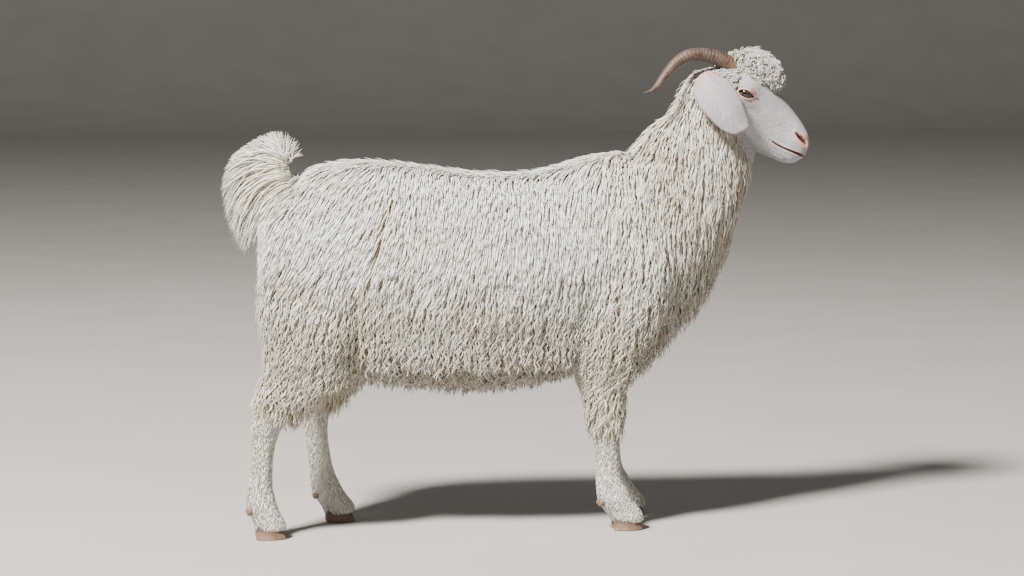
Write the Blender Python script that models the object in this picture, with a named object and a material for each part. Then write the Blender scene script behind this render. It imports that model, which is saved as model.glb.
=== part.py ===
# Angora goat doe, life size, standing in a half-grown fleece.
# Metres, +Z up. The goat faces +X, its right side is at -Y, and its soles stand on Z = 0.

import math

import bmesh
import bpy
import numpy as np
from mathutils import Matrix, Vector
from mathutils.bvhtree import BVHTree

# Clearance kept between neighbouring pieces.
GAP = 0.0003

# Coat: the flesh carries a felted core, and the locks stand out of it.
FLEECE_DEPTH = 0.028
CORE_DEPTH = 0.011
CORE_SHARE = CORE_DEPTH / FLEECE_DEPTH
FACE_HAIR = 0.002
SEED = 7

# Fleece locks, with their cross-section as shares of half the width and thickness.
LOCK_LENGTH = 0.106
LOCK_WIDTH = 0.064
LOCK_THICKNESS = 0.024
LOCK_SPACING = 0.054
LOCK_STEPS = 4
LOCK_SINK = 0.006
LOCK_BEND = 0.006
LOCK_SECTION = ((-1.0, -0.30), (-0.62, 0.62), (0.0, 0.90), (0.62, 0.62), (1.0, -0.30))
SHORT_LOCK = 0.72
SHORT_ABOVE_Z = 0.66
SHORT_BELOW_Z = 0.30
BELLY_SLOPE = -0.55
BACK_SLOPE = 0.75
SPREAD_TRIES = 24000
SPINE_FROM_X = 0.25
SPINE_TO_X = -0.33
SPINE_SPACING = 0.050
SPINE_WANDER = 0.016

# Curls of the forelock.
CURL_SPACING = 0.0175
CURL_HEIGHT = 0.013
CURL_LENGTH = 0.036
CURL_WIDTH = 0.024
CURL_THICKNESS = 0.013
CURL_TWIST = 0.35
# Stations of a curl: along its reach, height as a share of its own, and forward lean.
CURL_PATH = ((-0.20, -0.40, 0.0), (0.15, 0.70, 0.0), (0.55, 0.75, 0.3), (1.0, 0.10, 1.0))

# Trunk stations: x, height of the spine, height of the belly, half width.
TORSO_ROWS = (
    (-0.412, 0.525, 0.430, 0.048),
    (-0.388, 0.566, 0.370, 0.082),
    (-0.340, 0.594, 0.318, 0.108),
    (-0.265, 0.606, 0.294, 0.121),
    (-0.175, 0.599, 0.276, 0.130),
    (-0.090, 0.587, 0.268, 0.134),
    (-0.010, 0.582, 0.274, 0.130),
    (0.060, 0.590, 0.288, 0.119),
    (0.125, 0.610, 0.304, 0.106),
    (0.180, 0.618, 0.318, 0.094),
    (0.240, 0.590, 0.352, 0.078),
    (0.284, 0.510, 0.400, 0.048),
)
# Neck stations: x, z, half depth in the side view, half width.
NECK_ROWS = (
    (0.155, 0.440, 0.112, 0.084),
    (0.224, 0.482, 0.104, 0.078),
    (0.290, 0.576, 0.092, 0.065),
    (0.338, 0.650, 0.080, 0.055),
    (0.350, 0.712, 0.062, 0.050),
)
# The head's own axes: along the face, and up through the forehead.
HEAD_PITCH = math.radians(-30.7)
HEAD_YAW = math.radians(-8)
HEAD_PIVOT = Vector((0.33, 0, 0))
HEAD_TURN = (Matrix.Translation(HEAD_PIVOT) @ Matrix.Rotation(HEAD_YAW, 4, "Z")
             @ Matrix.Translation(-HEAD_PIVOT))
FACE_AXIS = Vector((math.cos(HEAD_PITCH), 0, math.sin(HEAD_PITCH)))
CROWN_AXIS = Vector((-math.sin(HEAD_PITCH), 0, math.cos(HEAD_PITCH)))
# Head stations: distance along the face, top line, bottom line, half width.
HEAD_ROWS = (
    (-0.150, 0.836, 0.776, 0.034),
    (-0.120, 0.860, 0.754, 0.049),
    (-0.080, 0.877, 0.747, 0.055),
    (-0.045, 0.882, 0.750, 0.056),
    (-0.010, 0.874, 0.754, 0.048),
    (0.025, 0.861, 0.759, 0.038),
    (0.055, 0.849, 0.763, 0.031),
    (0.080, 0.838, 0.767, 0.028),
    (0.096, 0.827, 0.775, 0.023),
    (0.104, 0.813, 0.790, 0.012),
)
HEAD_EGG = 0.10
# Felted mound under the forelock: distance along the face, height of its middle, depth, width.
MOUND_ROWS = (
    (-0.128, 0.850, 0.014, 0.024),
    (-0.100, 0.858, 0.030, 0.040),
    (-0.060, 0.862, 0.034, 0.044),
    (-0.020, 0.856, 0.028, 0.038),
    (0.002, 0.852, 0.010, 0.020),
)
# Closed mouth in the side view, from its corner to the front: along the face, and height.
MOUTH_ROWS = (
    (0.040, 0.7925),
    (0.058, 0.7890),
    (0.080, 0.7875),
    (0.104, 0.7895),
)
MOUTH_OPENING = 0.0024
MOUTH_DEPTH = 0.005
LIP_RADIUS = 0.0032
LIP_RISE = 0.0012
# Nostril slot: along the face, height, half opening, half depth.
NOSTRIL_ROWS = (
    (0.073, 0.8215, 0.0018, 0.005),
    (0.082, 0.8170, 0.0034, 0.007),
    (0.091, 0.8130, 0.0034, 0.007),
    (0.099, 0.8105, 0.0022, 0.005),
)

# Leg stations: x, z, half length fore and aft, half width, coat depth over the flesh.
FORE_ROWS = (
    (0.168, 0.430, 0.074, 0.040, 0.028),
    (0.152, 0.345, 0.058, 0.038, 0.026),
    (0.143, 0.290, 0.038, 0.030, 0.020),
    (0.143, 0.240, 0.029, 0.025, 0.016),
    (0.144, 0.195, 0.027, 0.024, 0.010),
    (0.146, 0.165, 0.022, 0.021, 0.005),
    (0.149, 0.120, 0.019, 0.017, 0.005),
    (0.151, 0.082, 0.020, 0.018, 0.005),
    (0.158, 0.058, 0.024, 0.022, 0.004),
    (0.172, 0.036, 0.022, 0.022, 0.003),
    (0.183, 0.018, 0.026, 0.024, 0.002),
    (0.186, 0.004, 0.024, 0.022, 0.002),
)
HIND_ROWS = (
    (-0.330, 0.470, 0.078, 0.046, 0.028),
    (-0.344, 0.390, 0.076, 0.048, 0.028),
    (-0.356, 0.320, 0.060, 0.042, 0.026),
    (-0.384, 0.262, 0.040, 0.032, 0.022),
    (-0.414, 0.218, 0.028, 0.024, 0.014),
    (-0.428, 0.190, 0.023, 0.021, 0.007),
    (-0.434, 0.150, 0.017, 0.017, 0.005),
    (-0.438, 0.095, 0.017, 0.017, 0.005),
    (-0.438, 0.062, 0.022, 0.021, 0.004),
    (-0.429, 0.038, 0.021, 0.022, 0.003),
    (-0.422, 0.018, 0.025, 0.024, 0.002),
    (-0.420, 0.004, 0.023, 0.022, 0.002),
)
FORE_HALF_STANCE = 0.070
HIND_HALF_STANCE = 0.076
# How far each foot is set forward of its stations, and how the shift fades up the leg.
FOOT_SHIFT = {"fore_right": 0.0, "fore_left": 0.030, "hind_right": 0.0, "hind_left": 0.132}
SHIFT_FADE_Z = 0.63
SHANK_TOP_Z = {"fore": 0.165, "hind": 0.192}
HEM_ROOT_Z = {"fore": 0.235, "hind": 0.258}
SHANK_OVERLAP = 0.06
LEG_SIDES = 12
CORONET_Z = 0.017

# Claws: two to a foot, with a gap between them. Rings: height, size and slide of the toe.
CLAW_LENGTH = 0.050
CLAW_WIDTH = 0.0225
CLAW_SPLIT = 0.0035
CLAW_RINGS = ((0.0, 0.97, 0.0), (0.002, 1.0, 0.0), (0.010, 0.97, -0.3), (CORONET_Z - GAP / 2, 0.90, -0.7))
CLAW_SIDES = 10
CLAW_TOE_SLOPE = 0.007
CLAW_TOE_TAPER = 0.38
CLAW_TURN_IN = 0.0022
DEWCLAW_LENGTH = 0.014
DEWCLAW_RADIUS = 0.0058
DEWCLAW_Z = 0.052
DEWCLAW_SPREAD = 0.011
DEWCLAW_SINK = 0.006
DEWCLAW_WAY = Vector((-0.75, 0, -0.66))

# Eyes and lids.
EYE_RADIUS = 0.0130
EYE_FACE = -0.0388
EYE_CROWN = 0.8341
EYE_Y = 0.0465
LID_HALF_LENGTH = 0.0140
LID_HALF_HEIGHT = 0.0078
LID_RADIUS = 0.0027
LID_CORNER_REACH = 0.0088
LID_TILT = math.radians(8)
LID_TURNS = 14

# Horn centre line of the right side: x, y, z, half depth, half width.
HORN_ROWS = (
    (0.381, -0.022, 0.768, 0.0150, 0.0115),
    (0.366, -0.027, 0.783, 0.0146, 0.0112),
    (0.346, -0.033, 0.793, 0.0142, 0.0108),
    (0.322, -0.040, 0.800, 0.0138, 0.0102),
    (0.298, -0.049, 0.8005, 0.0126, 0.0094),
    (0.276, -0.059, 0.789, 0.0102, 0.0080),
    (0.259, -0.068, 0.773, 0.0080, 0.0064),
    (0.244, -0.076, 0.753, 0.0068, 0.0054),
    (0.232, -0.082, 0.742, 0.0046, 0.0038),
    (0.219, -0.087, 0.737, 0.0018, 0.0016),
)
HORN_SIDES = 8
HORN_RING_RISE = 0.0011

# Ear: a drooping leaf on a short stalk, cupped towards the cheek.
EAR_LENGTH = 0.118
EAR_HALF_WIDTH = 0.040
EAR_THICKNESS = 0.0042
EAR_CUP = 0.011
EAR_SWEEP = 0.013
EAR_ROWS = 9
EAR_COLUMNS = 5
EAR_ROOT = Vector((0.322, -0.043, 0.769))
EAR_TIP = Vector((0.378, -0.090, 0.683))
EAR_FORWARD = Vector((0.90, 0.10, 0.42))

# Tail: a short raised dock, then a fan of long hair that rises and falls back from it.
TAIL_ROWS = (
    (-0.372, 0.560, 0.020, 0.020),
    (-0.386, 0.584, 0.018, 0.018),
    (-0.393, 0.608, 0.015, 0.015),
    (-0.397, 0.628, 0.010, 0.011),
    (-0.399, 0.640, 0.005, 0.006),
)
# Hair arcs from the front of the fan to its back: start, bend and tip, each x and z.
TAIL_FAN = (
    (-0.392, 0.622, -0.374, 0.634, -0.356, 0.636),
    (-0.396, 0.630, -0.388, 0.650, -0.374, 0.660),
    (-0.398, 0.634, -0.400, 0.656, -0.404, 0.673),
    (-0.399, 0.632, -0.420, 0.660, -0.446, 0.655),
    (-0.398, 0.628, -0.440, 0.652, -0.480, 0.628),
    (-0.397, 0.622, -0.456, 0.642, -0.496, 0.583),
    (-0.396, 0.614, -0.462, 0.624, -0.491, 0.534),
    (-0.394, 0.604, -0.458, 0.604, -0.478, 0.494),
    (-0.392, 0.592, -0.446, 0.586, -0.460, 0.468),
    (-0.392, 0.580, -0.430, 0.570, -0.448, 0.474),
)
TAIL_LOCKS = 27
TAIL_LOCK_STEPS = 5
TAIL_HALF_FAN = 0.022
TAIL_LOCK_WIDTH = 0.024
TAIL_LOCK_THICKNESS = 0.008

# Parting planes: a point on each, and the normal towards the outer piece.
HEAD_CUT = (Vector((0.345, 0, 0.715)), Vector((0.846, 0, 0.533)).normalized())
TURNED_HEAD_CUT = (HEAD_TURN @ HEAD_CUT[0], HEAD_TURN.to_3x3() @ HEAD_CUT[1])
NECK_CUT = (Vector((0.238, 0, 0.515)), Vector((0.920, 0, 0.392)).normalized())
HIND_CUT = (Vector((-0.300, 0, 0.335)), Vector((-0.560, 0, -0.828)).normalized())
HIND_FRONT_X = -0.225
# Border between rump and tail in the side view, from above the dock to below the hair.
TAIL_BORDER = ((-0.345, 0.720), (-0.366, 0.606), (-0.384, 0.584), (-0.408, 0.558),
               (-0.436, 0.500), (-0.440, 0.440))
TAIL_HALF_SLOT = 0.040
TAIL_SPACE_BACK_X = -0.6
FORE_CUT_Z = 0.312
FORE_BACK_X = 0.066
FORE_FRONT_X = 0.262
BREAST_HALF_WIDTH = 0.004

# Mesh densities, in metres, passes and triangles.
SKIN_VOXEL = 0.0055
SKIN_SMOOTHING = 6
BODY_FACES = 2000
COAT_FACES = 7200
FINE_FACES = 26000
HEAD_FACES = 1560
TAIL_FACES = 1200
SHARP_ANGLE = math.radians(50)

MATERIALS = {
    "fleece": ((0.84, 0.81, 0.75), 0.75),
    "face": ((0.80, 0.77, 0.74), 0.65),
    "horn": ((0.30, 0.19, 0.13), 0.45),
    "claw": ((0.45, 0.28, 0.18), 0.50),
    "eye": ((0.22, 0.16, 0.08), 0.10),
}


def clear_scene():
    for item in list(bpy.data.objects):
        bpy.data.objects.remove(item, do_unlink=True)


def material(slot):
    found = bpy.data.materials.get(slot)
    if found:
        return found
    colour, roughness = MATERIALS[slot]
    made = bpy.data.materials.new(slot)
    made.use_nodes = True
    shader = made.node_tree.nodes["Principled BSDF"]
    shader.inputs["Base Color"].default_value = (*colour, 1.0)
    shader.inputs["Roughness"].default_value = roughness
    shader.inputs["Metallic"].default_value = 0.0
    return made


def object_of(name, points, faces, slot="fleece"):
    mesh = bpy.data.meshes.new(name)
    mesh.from_pydata([tuple(p) for p in points], [], [tuple(f) for f in faces])
    mesh.validate()
    made = bpy.data.objects.new(name, mesh)
    bpy.context.scene.collection.objects.link(made)
    mesh.materials.append(material(slot))
    return made


def baked(item):
    """The object with its modifiers applied."""
    bpy.context.view_layer.update()
    graph = bpy.context.evaluated_depsgraph_get()
    mesh = bpy.data.meshes.new_from_object(item.evaluated_get(graph))
    item.modifiers.clear()
    old = item.data
    item.data = mesh
    bpy.data.meshes.remove(old)
    return item


def copy_of(item, name):
    made = bpy.data.objects.new(name, item.data.copy())
    bpy.context.scene.collection.objects.link(made)
    return made


def remove(*items):
    for item in items:
        bpy.data.objects.remove(item, do_unlink=True)


def combine(target, operation, other):
    cut = target.modifiers.new("cut", "BOOLEAN")
    cut.operation = operation
    cut.solver = "MANIFOLD"
    cut.object = other
    return baked(target)


def unite(target, pieces):
    """Fuses closed pieces into the target and removes them."""
    if not pieces:
        return target
    group = bpy.data.collections.new("joined")
    for piece in pieces:
        group.objects.link(piece)
    join = target.modifiers.new("join", "BOOLEAN")
    join.operation = "UNION"
    join.solver = "MANIFOLD"
    join.operand_type = "COLLECTION"
    join.collection = group
    baked(target)
    remove(*pieces)
    bpy.data.collections.remove(group)
    return target


def keep_largest(item):
    """Keeps the closed surface that holds the most space."""
    shape = bmesh.new()
    shape.from_mesh(item.data)
    shape.faces.ensure_lookup_table()
    left = set(shape.faces)
    islands = []
    while left:
        front = [left.pop()]
        island = []
        while front:
            face = front.pop()
            island.append(face)
            for edge in face.edges:
                for other in edge.link_faces:
                    if other in left:
                        left.remove(other)
                        front.append(other)
        islands.append(island)

    def volume(island):
        total = 0.0
        for face in island:
            first, *others = [loop.vert.co for loop in face.loops]
            for second, third in zip(others, others[1:]):
                total += first.dot(second.cross(third)) / 6
        return total

    islands.sort(key=volume, reverse=True)
    spare = [face for island in islands[1:] for face in island]
    bmesh.ops.delete(shape, geom=spare, context="FACES")
    shape.to_mesh(item.data)
    shape.free()
    return item


def finish(item, slot):
    """Makes faces flat triangles, shades round forms smooth and sets the material."""
    shape = bmesh.new()
    shape.from_mesh(item.data)
    bmesh.ops.triangulate(shape, faces=shape.faces)
    shape.to_mesh(item.data)
    shape.free()
    item.data.materials.clear()
    item.data.materials.append(material(slot))
    item.data.shade_smooth()
    item.data.set_sharp_from_angle(angle=SHARP_ANGLE)
    return item


def smooth_rows(rows, steps):
    """More rows between the given ones, on a smooth curve through them."""
    table = np.array(rows, float)
    padded = np.vstack([2 * table[0] - table[1], table, 2 * table[-1] - table[-2]])
    made = []
    for i in range(len(table) - 1):
        a, b, c, d = padded[i : i + 4]
        for k in range(steps):
            t = k / steps
            made.append(
                0.5 * (2 * b + (c - a) * t + (2 * a - 5 * b + 4 * c - d) * t**2
                       + (3 * b - a - 3 * c + d) * t**3)
            )
    made.append(table[-1])
    return made


def ring_points(centre, up, side, half_up, half_side, sides, egg):
    """One oval section. A positive egg makes its top the wider end."""
    points = []
    for k in range(sides):
        turn = 2 * math.pi * k / sides
        wide = half_side * (1 + egg * math.sin(turn))
        points.append(centre + up * (half_up * math.sin(turn)) + side * (wide * math.cos(turn)))
    return points


def closed(name, points, faces, slot="fleece"):
    """A closed mesh of triangles with its faces turned outwards."""
    made = object_of(name, points, faces, slot)
    shape = bmesh.new()
    shape.from_mesh(made.data)
    bmesh.ops.triangulate(shape, faces=shape.faces)
    bmesh.ops.recalc_face_normals(shape, faces=shape.faces)
    shape.to_mesh(made.data)
    shape.free()
    return made


def skin_rings(name, rings, slot="fleece"):
    """A closed tube through rings of equal count."""
    sides = len(rings[0])
    points = [p for ring in rings for p in ring]
    faces = []
    for r in range(len(rings) - 1):
        for k in range(sides):
            n = (k + 1) % sides
            faces.append((r * sides + k, r * sides + n, (r + 1) * sides + n, (r + 1) * sides + k))
    faces.append(tuple(reversed(range(sides))))
    faces.append(tuple(range((len(rings) - 1) * sides, len(rings) * sides)))
    return closed(name, points, faces, slot)


def path_tube(name, rows, sides, grow=0.0, egg=0.0, slot="fleece"):
    """A tube along rows of centre, half depth and half width, square to its own path."""
    centres = [Vector(row[:3]) for row in rows]
    rings = []
    for i, row in enumerate(rows):
        ahead = centres[min(i + 1, len(rows) - 1)] - centres[max(i - 1, 0)]
        ahead.normalize()
        side = Vector((0, 1, 0)) - ahead * ahead.y
        side.normalize()
        up = side.cross(ahead)
        end = {0: -grow, len(rows) - 1: grow}.get(i, 0.0)
        rings.append(ring_points(centres[i] + ahead * end, up, side, row[3] + grow, row[4] + grow,
                                 sides, egg))
    return skin_rings(name, rings, slot)


def on_head(face, crown, y=0.0):
    """A point given along the face and up through the crown."""
    return FACE_AXIS * face + CROWN_AXIS * crown + Vector((0, y, 0))


def torso_tube(grow):
    rings = []
    for x, top, bottom, half_width in smooth_rows(TORSO_ROWS, 3):
        centre = Vector((x, 0, (top + bottom) / 2))
        rings.append(ring_points(centre, Vector((0, 0, 1)), Vector((0, 1, 0)),
                                 (top - bottom) / 2 + grow, half_width + grow, 28, -0.10))
    return skin_rings("torso_form", rings)


def neck_tube(grow):
    rows = [(x, 0.0, z, depth, width) for x, z, depth, width in smooth_rows(NECK_ROWS, 4)]
    return path_tube("neck_form", rows, 24, grow)


def head_tube(grow):
    rings = []
    for face, top, bottom, half_width in smooth_rows(HEAD_ROWS, 3):
        centre = on_head(face, (top + bottom) / 2)
        rings.append(ring_points(centre, CROWN_AXIS, Vector((0, 1, 0)),
                                 (top - bottom) / 2 + grow, half_width + grow, 24, HEAD_EGG))
    made = skin_rings("head_form", rings)
    made.data.transform(HEAD_TURN)
    return made


def cheek_y(face, crown):
    """How far the side of the head stands from its middle at a place in the side view."""
    rows = np.array(HEAD_ROWS)
    top, bottom, half_width = (np.interp(face, rows[:, 0], rows[:, c]) for c in (1, 2, 3))
    rise = (crown - (top + bottom) / 2) / ((top - bottom) / 2)
    rise = min(max(rise, -1.0), 1.0)
    return float(half_width * (1 + HEAD_EGG * rise) * math.sqrt(1 - rise * rise)) + FACE_HAIR


def forelock_mound():
    """The felted base of the forelock, on the crown between horns and eyes."""
    rows = [(*on_head(face, crown), depth, width) for face, crown, depth, width in MOUND_ROWS]
    made = path_tube("mound", smooth_rows(rows, 2), 16)
    made.data.transform(HEAD_TURN)
    return made


def leg_rows(leg):
    """Centre, half sizes and coat depth down one leg, posed by its foot's shift."""
    fore = leg.startswith("fore")
    side = -1 if leg.endswith("right") else 1
    half_stance = FORE_HALF_STANCE if fore else HIND_HALF_STANCE
    shift = FOOT_SHIFT[leg]
    rows = []
    for x, z, length, width, coat in FORE_ROWS if fore else HIND_ROWS:
        drop = 1 - z / SHIFT_FADE_Z
        rows.append((x + shift * drop, side * half_stance, z, length, width, coat))
    return rows


def leg_tube(leg, share):
    """One leg's form, with a share of its coat depth added over the flesh."""
    rows = [(x, y, z, length + share * coat, width + share * coat)
            for x, y, z, length, width, coat in smooth_rows(leg_rows(leg), 3)]
    return path_tube(leg + "_form", rows, 16)


def build_shank(leg):
    """The short-haired lower leg, from under the hanging locks to the coronet."""
    top = SHANK_TOP_Z[leg[:4]]
    rows = [(x, y, z, length + CORE_SHARE * coat, width + CORE_SHARE * coat)
            for x, y, z, length, width, coat in leg_rows(leg) if z < top + SHANK_OVERLAP]
    made = path_tube("shank_" + leg, rows, LEG_SIDES)
    cutters = [box("above", (-1, -1, top - GAP / 2), (1, 1, 1))]
    cutters.append(box("ground", (-1, -1, -1), (1, 1, CORONET_Z + GAP / 2)))
    cutters += [dewclaw(leg, inner, GAP) for inner in (1, -1)]
    for cutter in cutters:
        combine(made, "DIFFERENCE", cutter)
    remove(*cutters)
    return finish(keep_largest(made), "fleece")


def felted_core():
    """The whole goat under its locks, blended into one smooth body."""
    forms = [torso_tube(CORE_DEPTH), neck_tube(CORE_DEPTH), head_tube(FACE_HAIR), forelock_mound()]
    forms += [leg_tube(leg, CORE_SHARE) for leg in FOOT_SHIFT]
    first, *others = forms
    shape = bmesh.new()
    for form in forms:
        shape.from_mesh(form.data)
    shape.to_mesh(first.data)
    shape.free()
    remove(*others)
    blend = first.modifiers.new("blend", "REMESH")
    blend.mode = "VOXEL"
    blend.voxel_size = SKIN_VOXEL
    relax = first.modifiers.new("relax", "SMOOTH")
    relax.factor = 0.5
    relax.iterations = SKIN_SMOOTHING
    return baked(first)


def thinned(item, name, faces):
    """A copy with about the wanted number of triangles."""
    made = copy_of(item, name)
    made.data.shade_flat()
    made.data.calc_loop_triangles()
    fewer = made.modifiers.new("fewer", "DECIMATE")
    fewer.ratio = faces / len(made.data.loop_triangles)
    fewer.use_collapse_triangulate = True
    return baked(made)


def block(name, corners):
    """A closed box from eight corners, counted like binary numbers."""
    faces = ((0, 1, 3, 2), (4, 6, 7, 5), (0, 4, 5, 1), (2, 3, 7, 6), (0, 2, 6, 4), (1, 5, 7, 3))
    return closed(name, corners, faces)


def box(name, low, high):
    """A plain box between two corners."""
    return block(name, [(x, y, z) for x in (low[0], high[0]) for y in (low[1], high[1])
                        for z in (low[2], high[2])])


def slab(name, plane, shift, y=0.0, half_width=1.0):
    """A large box whose near face lies on the plane, moved along its normal by shift."""
    point, normal = plane
    side = Vector((0, 1, 0))
    up = normal.cross(side)
    return block(name, [point + normal * out + up * along + side * across for out in (shift, 1.0)
                        for along in (-1.0, 1.0) for across in (y - half_width, y + half_width)])


def prism(name, outline, low_y, high_y):
    """An outline of points in the side view, drawn out sideways."""
    count = len(outline)
    points = [Vector((p.x, y, p.z)) for y in (low_y, high_y) for p in outline]
    faces = [(k, (k + 1) % count, count + (k + 1) % count, count + k) for k in range(count)]
    faces += [tuple(reversed(range(count))), tuple(range(count, 2 * count))]
    return closed(name, points, faces)


def beyond(plane, point):
    return (point - plane[0]).dot(plane[1])


def fore_space(side, grow):
    """The space of one foreleg below the elbow."""
    near, far = BREAST_HALF_WIDTH - grow, 0.5
    low_y, high_y = (near, far) if side > 0 else (-far, -near)
    return box("fore_space", (FORE_BACK_X - grow, low_y, -0.1),
               (FORE_FRONT_X + grow, high_y, FORE_CUT_Z + grow))


def hind_space(grow, side=0):
    """The space of both hind legs under the slanting cut, or of one of them."""
    half_width = 0.25
    if side:
        made = slab("hind_space", HIND_CUT, -grow, side * (half_width + GAP / 2), half_width)
    else:
        made = slab("hind_space", HIND_CUT, -grow)
    front = box("front", (HIND_FRONT_X + grow, -2, -2), (2, 2, 2))
    combine(made, "DIFFERENCE", front)
    remove(front)
    return made


def tail_space(grow, half_width):
    """The space behind the border between rump and tail, moved forward by grow."""
    border = [Vector((x, 0, z)) for x, z in TAIL_BORDER]
    outline = []
    for i, point in enumerate(border):
        along = border[min(i + 1, len(border) - 1)] - border[max(i - 1, 0)]
        forward = Vector((-along.z, 0, along.x)).normalized()
        outline.append(point + forward * grow)
    outline.append(Vector((TAIL_SPACE_BACK_X, 0, outline[-1].z)))
    outline.append(Vector((TAIL_SPACE_BACK_X, 0, outline[0].z)))
    return prism("tail_space", outline, -half_width, half_width)


def lie_of(point, normal):
    """The way the coat lies: down the sides from a parting along the spine, a little back."""
    sideways = math.copysign(0.55 * max(normal.z, 0.0), point.y)
    way = Vector((-0.16, sideways, -1.0))
    way -= normal * way.dot(normal)
    return way.normalized()


def lie_of_spine(point, normal):
    """The way the row of locks over the spine lies: straight back."""
    way = Vector((-1, 0, 0))
    way -= normal * way.dot(normal)
    return way.normalized()


def drape(surface, root, normal, lie, length, rise, sink):
    """Points and outward directions of a lock that lies on the body and hangs free past it."""
    points = [root - normal * sink]
    outs = [normal.copy()]
    place = root.copy()
    free = False
    for k in range(1, LOCK_STEPS + 1):
        share = k / LOCK_STEPS
        way = Vector((-0.08, 0, -1)).normalized() if free else lie(place, normal)
        place = place + way * (length / LOCK_STEPS)
        near, out, _, _ = surface.find_nearest(place)
        height = (place - near).dot(out)
        wanted = rise * math.sin(share * math.pi / 2)
        if height < wanted:
            place = near + out * wanted
        free = height > 2.5 * rise
        normal = out if not free else (normal * 0.7 + out * 0.3).normalized()
        points.append(place.copy())
        outs.append(normal.copy())
    return points, outs


def lock(points, outs, width, thickness, swell, bend=0.0):
    """A flat lock that swells and then tapers to a point along its path."""
    rings = []
    count = len(points)
    for i in range(count - 1):
        share = i / (count - 1)
        ahead = points[min(i + 1, count - 1)] - points[max(i - 1, 0)]
        ahead.normalize()
        across = ahead.cross(outs[i]).normalized()
        out = across.cross(ahead).normalized()
        centre = points[i] + across * (bend * math.sin(2 * math.pi * share))
        half = swell(share)
        rings.append([centre + across * (u * width / 2 * half) + out * (v * thickness / 2 * half)
                      for u, v in LOCK_SECTION])
    sides = len(LOCK_SECTION)
    verts = [p for ring in rings for p in ring] + [points[-1]]
    faces = []
    for r in range(len(rings) - 1):
        for k in range(sides):
            n = (k + 1) % sides
            faces.append((r * sides + k, r * sides + n, (r + 1) * sides + n, (r + 1) * sides + k))
    last = (len(rings) - 1) * sides
    for k in range(sides):
        faces.append((last + k, last + (k + 1) % sides, len(verts) - 1))
    faces.append(tuple(reversed(range(sides))))
    return closed("lock", verts, faces)


def fleece_swell(share):
    """A blunt lock: full for most of its length, then rounded to its tip."""
    return float(np.interp(share, (0, 0.25, 0.5, 0.75, 1), (0.62, 0.95, 1.0, 0.78, 0.3)))


def hair_swell(share):
    """A long lock that narrows from its middle to its tip."""
    return float(np.interp(share, (0, 0.3, 0.6, 1), (0.6, 1.0, 0.85, 0.25)))


def spread(core, spacing, wanted, seed):
    """Points spread evenly over the part of a surface that is wanted, at least spacing apart."""
    draw = np.random.default_rng(seed)
    mesh = core.data
    mesh.calc_loop_triangles()
    points = np.array([v.co for v in mesh.vertices])
    corners = points[np.array([t.vertices for t in mesh.loop_triangles])]
    cross = np.cross(corners[:, 1] - corners[:, 0], corners[:, 2] - corners[:, 0])
    area = np.linalg.norm(cross, axis=1)
    picks = draw.choice(len(area), SPREAD_TRIES, p=area / area.sum())
    u, v = draw.random((2, len(picks)))
    u, v = np.where(u + v > 1, 1 - u, u), np.where(u + v > 1, 1 - v, v)
    spots = (corners[picks, 0] + (corners[picks, 1] - corners[picks, 0]) * u[:, None]
             + (corners[picks, 2] - corners[picks, 0]) * v[:, None])
    normals = cross[picks] / area[picks, None]
    chosen = []
    for spot, normal in zip(spots, normals):
        if not wanted(Vector(spot), Vector(normal)):
            continue
        if chosen and np.min(np.linalg.norm(np.array([c[0] for c in chosen]) - spot, axis=1)) < spacing:
            continue
        chosen.append((spot, normal))
    return [(Vector(spot), Vector(normal)) for spot, normal in chosen]


def wears_fleece(point, normal):
    """True where long locks grow: neck, trunk and the legs down to knee and gaskin."""
    if beyond(TURNED_HEAD_CUT, point) > -0.012:
        return False
    if point.z < SHORT_BELOW_Z and normal.z < BELLY_SLOPE:
        return False
    if point.x < -0.365 and point.z > 0.50 and abs(point.y) < TAIL_HALF_SLOT + 0.01:
        return False
    return point.z > HEM_ROOT_Z["fore" if point.x > 0 else "hind"]


def wears_curls(point, normal):
    """True on the crown and forehead, where the short curled forelock grows."""
    face, crown = point.dot(FACE_AXIS), point.dot(CROWN_AXIS)
    hairline = 0.846 + 0.22 * max(face + 0.09, 0)
    return -0.140 < face < 0.004 and crown > hairline


def forelock(skull):
    """Plump curls that roll from the crown over the forehead."""
    curls = []
    draw = np.random.default_rng(SEED + 2)
    for root, normal in spread(skull, CURL_SPACING, wears_curls, SEED + 3):
        face = root.dot(FACE_AXIS)
        forward = float(np.interp(face, (-0.13, -0.06), (-0.6, 1.0)))
        way = FACE_AXIS * forward + Vector((0, root.y * 14, 0))
        way -= normal * way.dot(normal)
        way.normalize()
        tall = CURL_HEIGHT * float(np.interp(face, (-0.14, -0.10, -0.03, 0.01), (0.7, 1.0, 1.0, 0.5)))
        tall *= draw.uniform(0.85, 1.15)
        reach = CURL_LENGTH * draw.uniform(0.85, 1.1)
        turn = draw.uniform(-CURL_TWIST, CURL_TWIST)
        way = (way * math.cos(turn) + normal.cross(way) * math.sin(turn)).normalized()
        points = [root + way * (reach * along) + normal * (tall * height)
                  for along, height, _ in CURL_PATH]
        outs = [(normal + way * lean).normalized() for _, _, lean in CURL_PATH]
        curls.append(lock(points, outs, CURL_WIDTH, CURL_THICKNESS, fleece_swell))
    return curls


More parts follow.
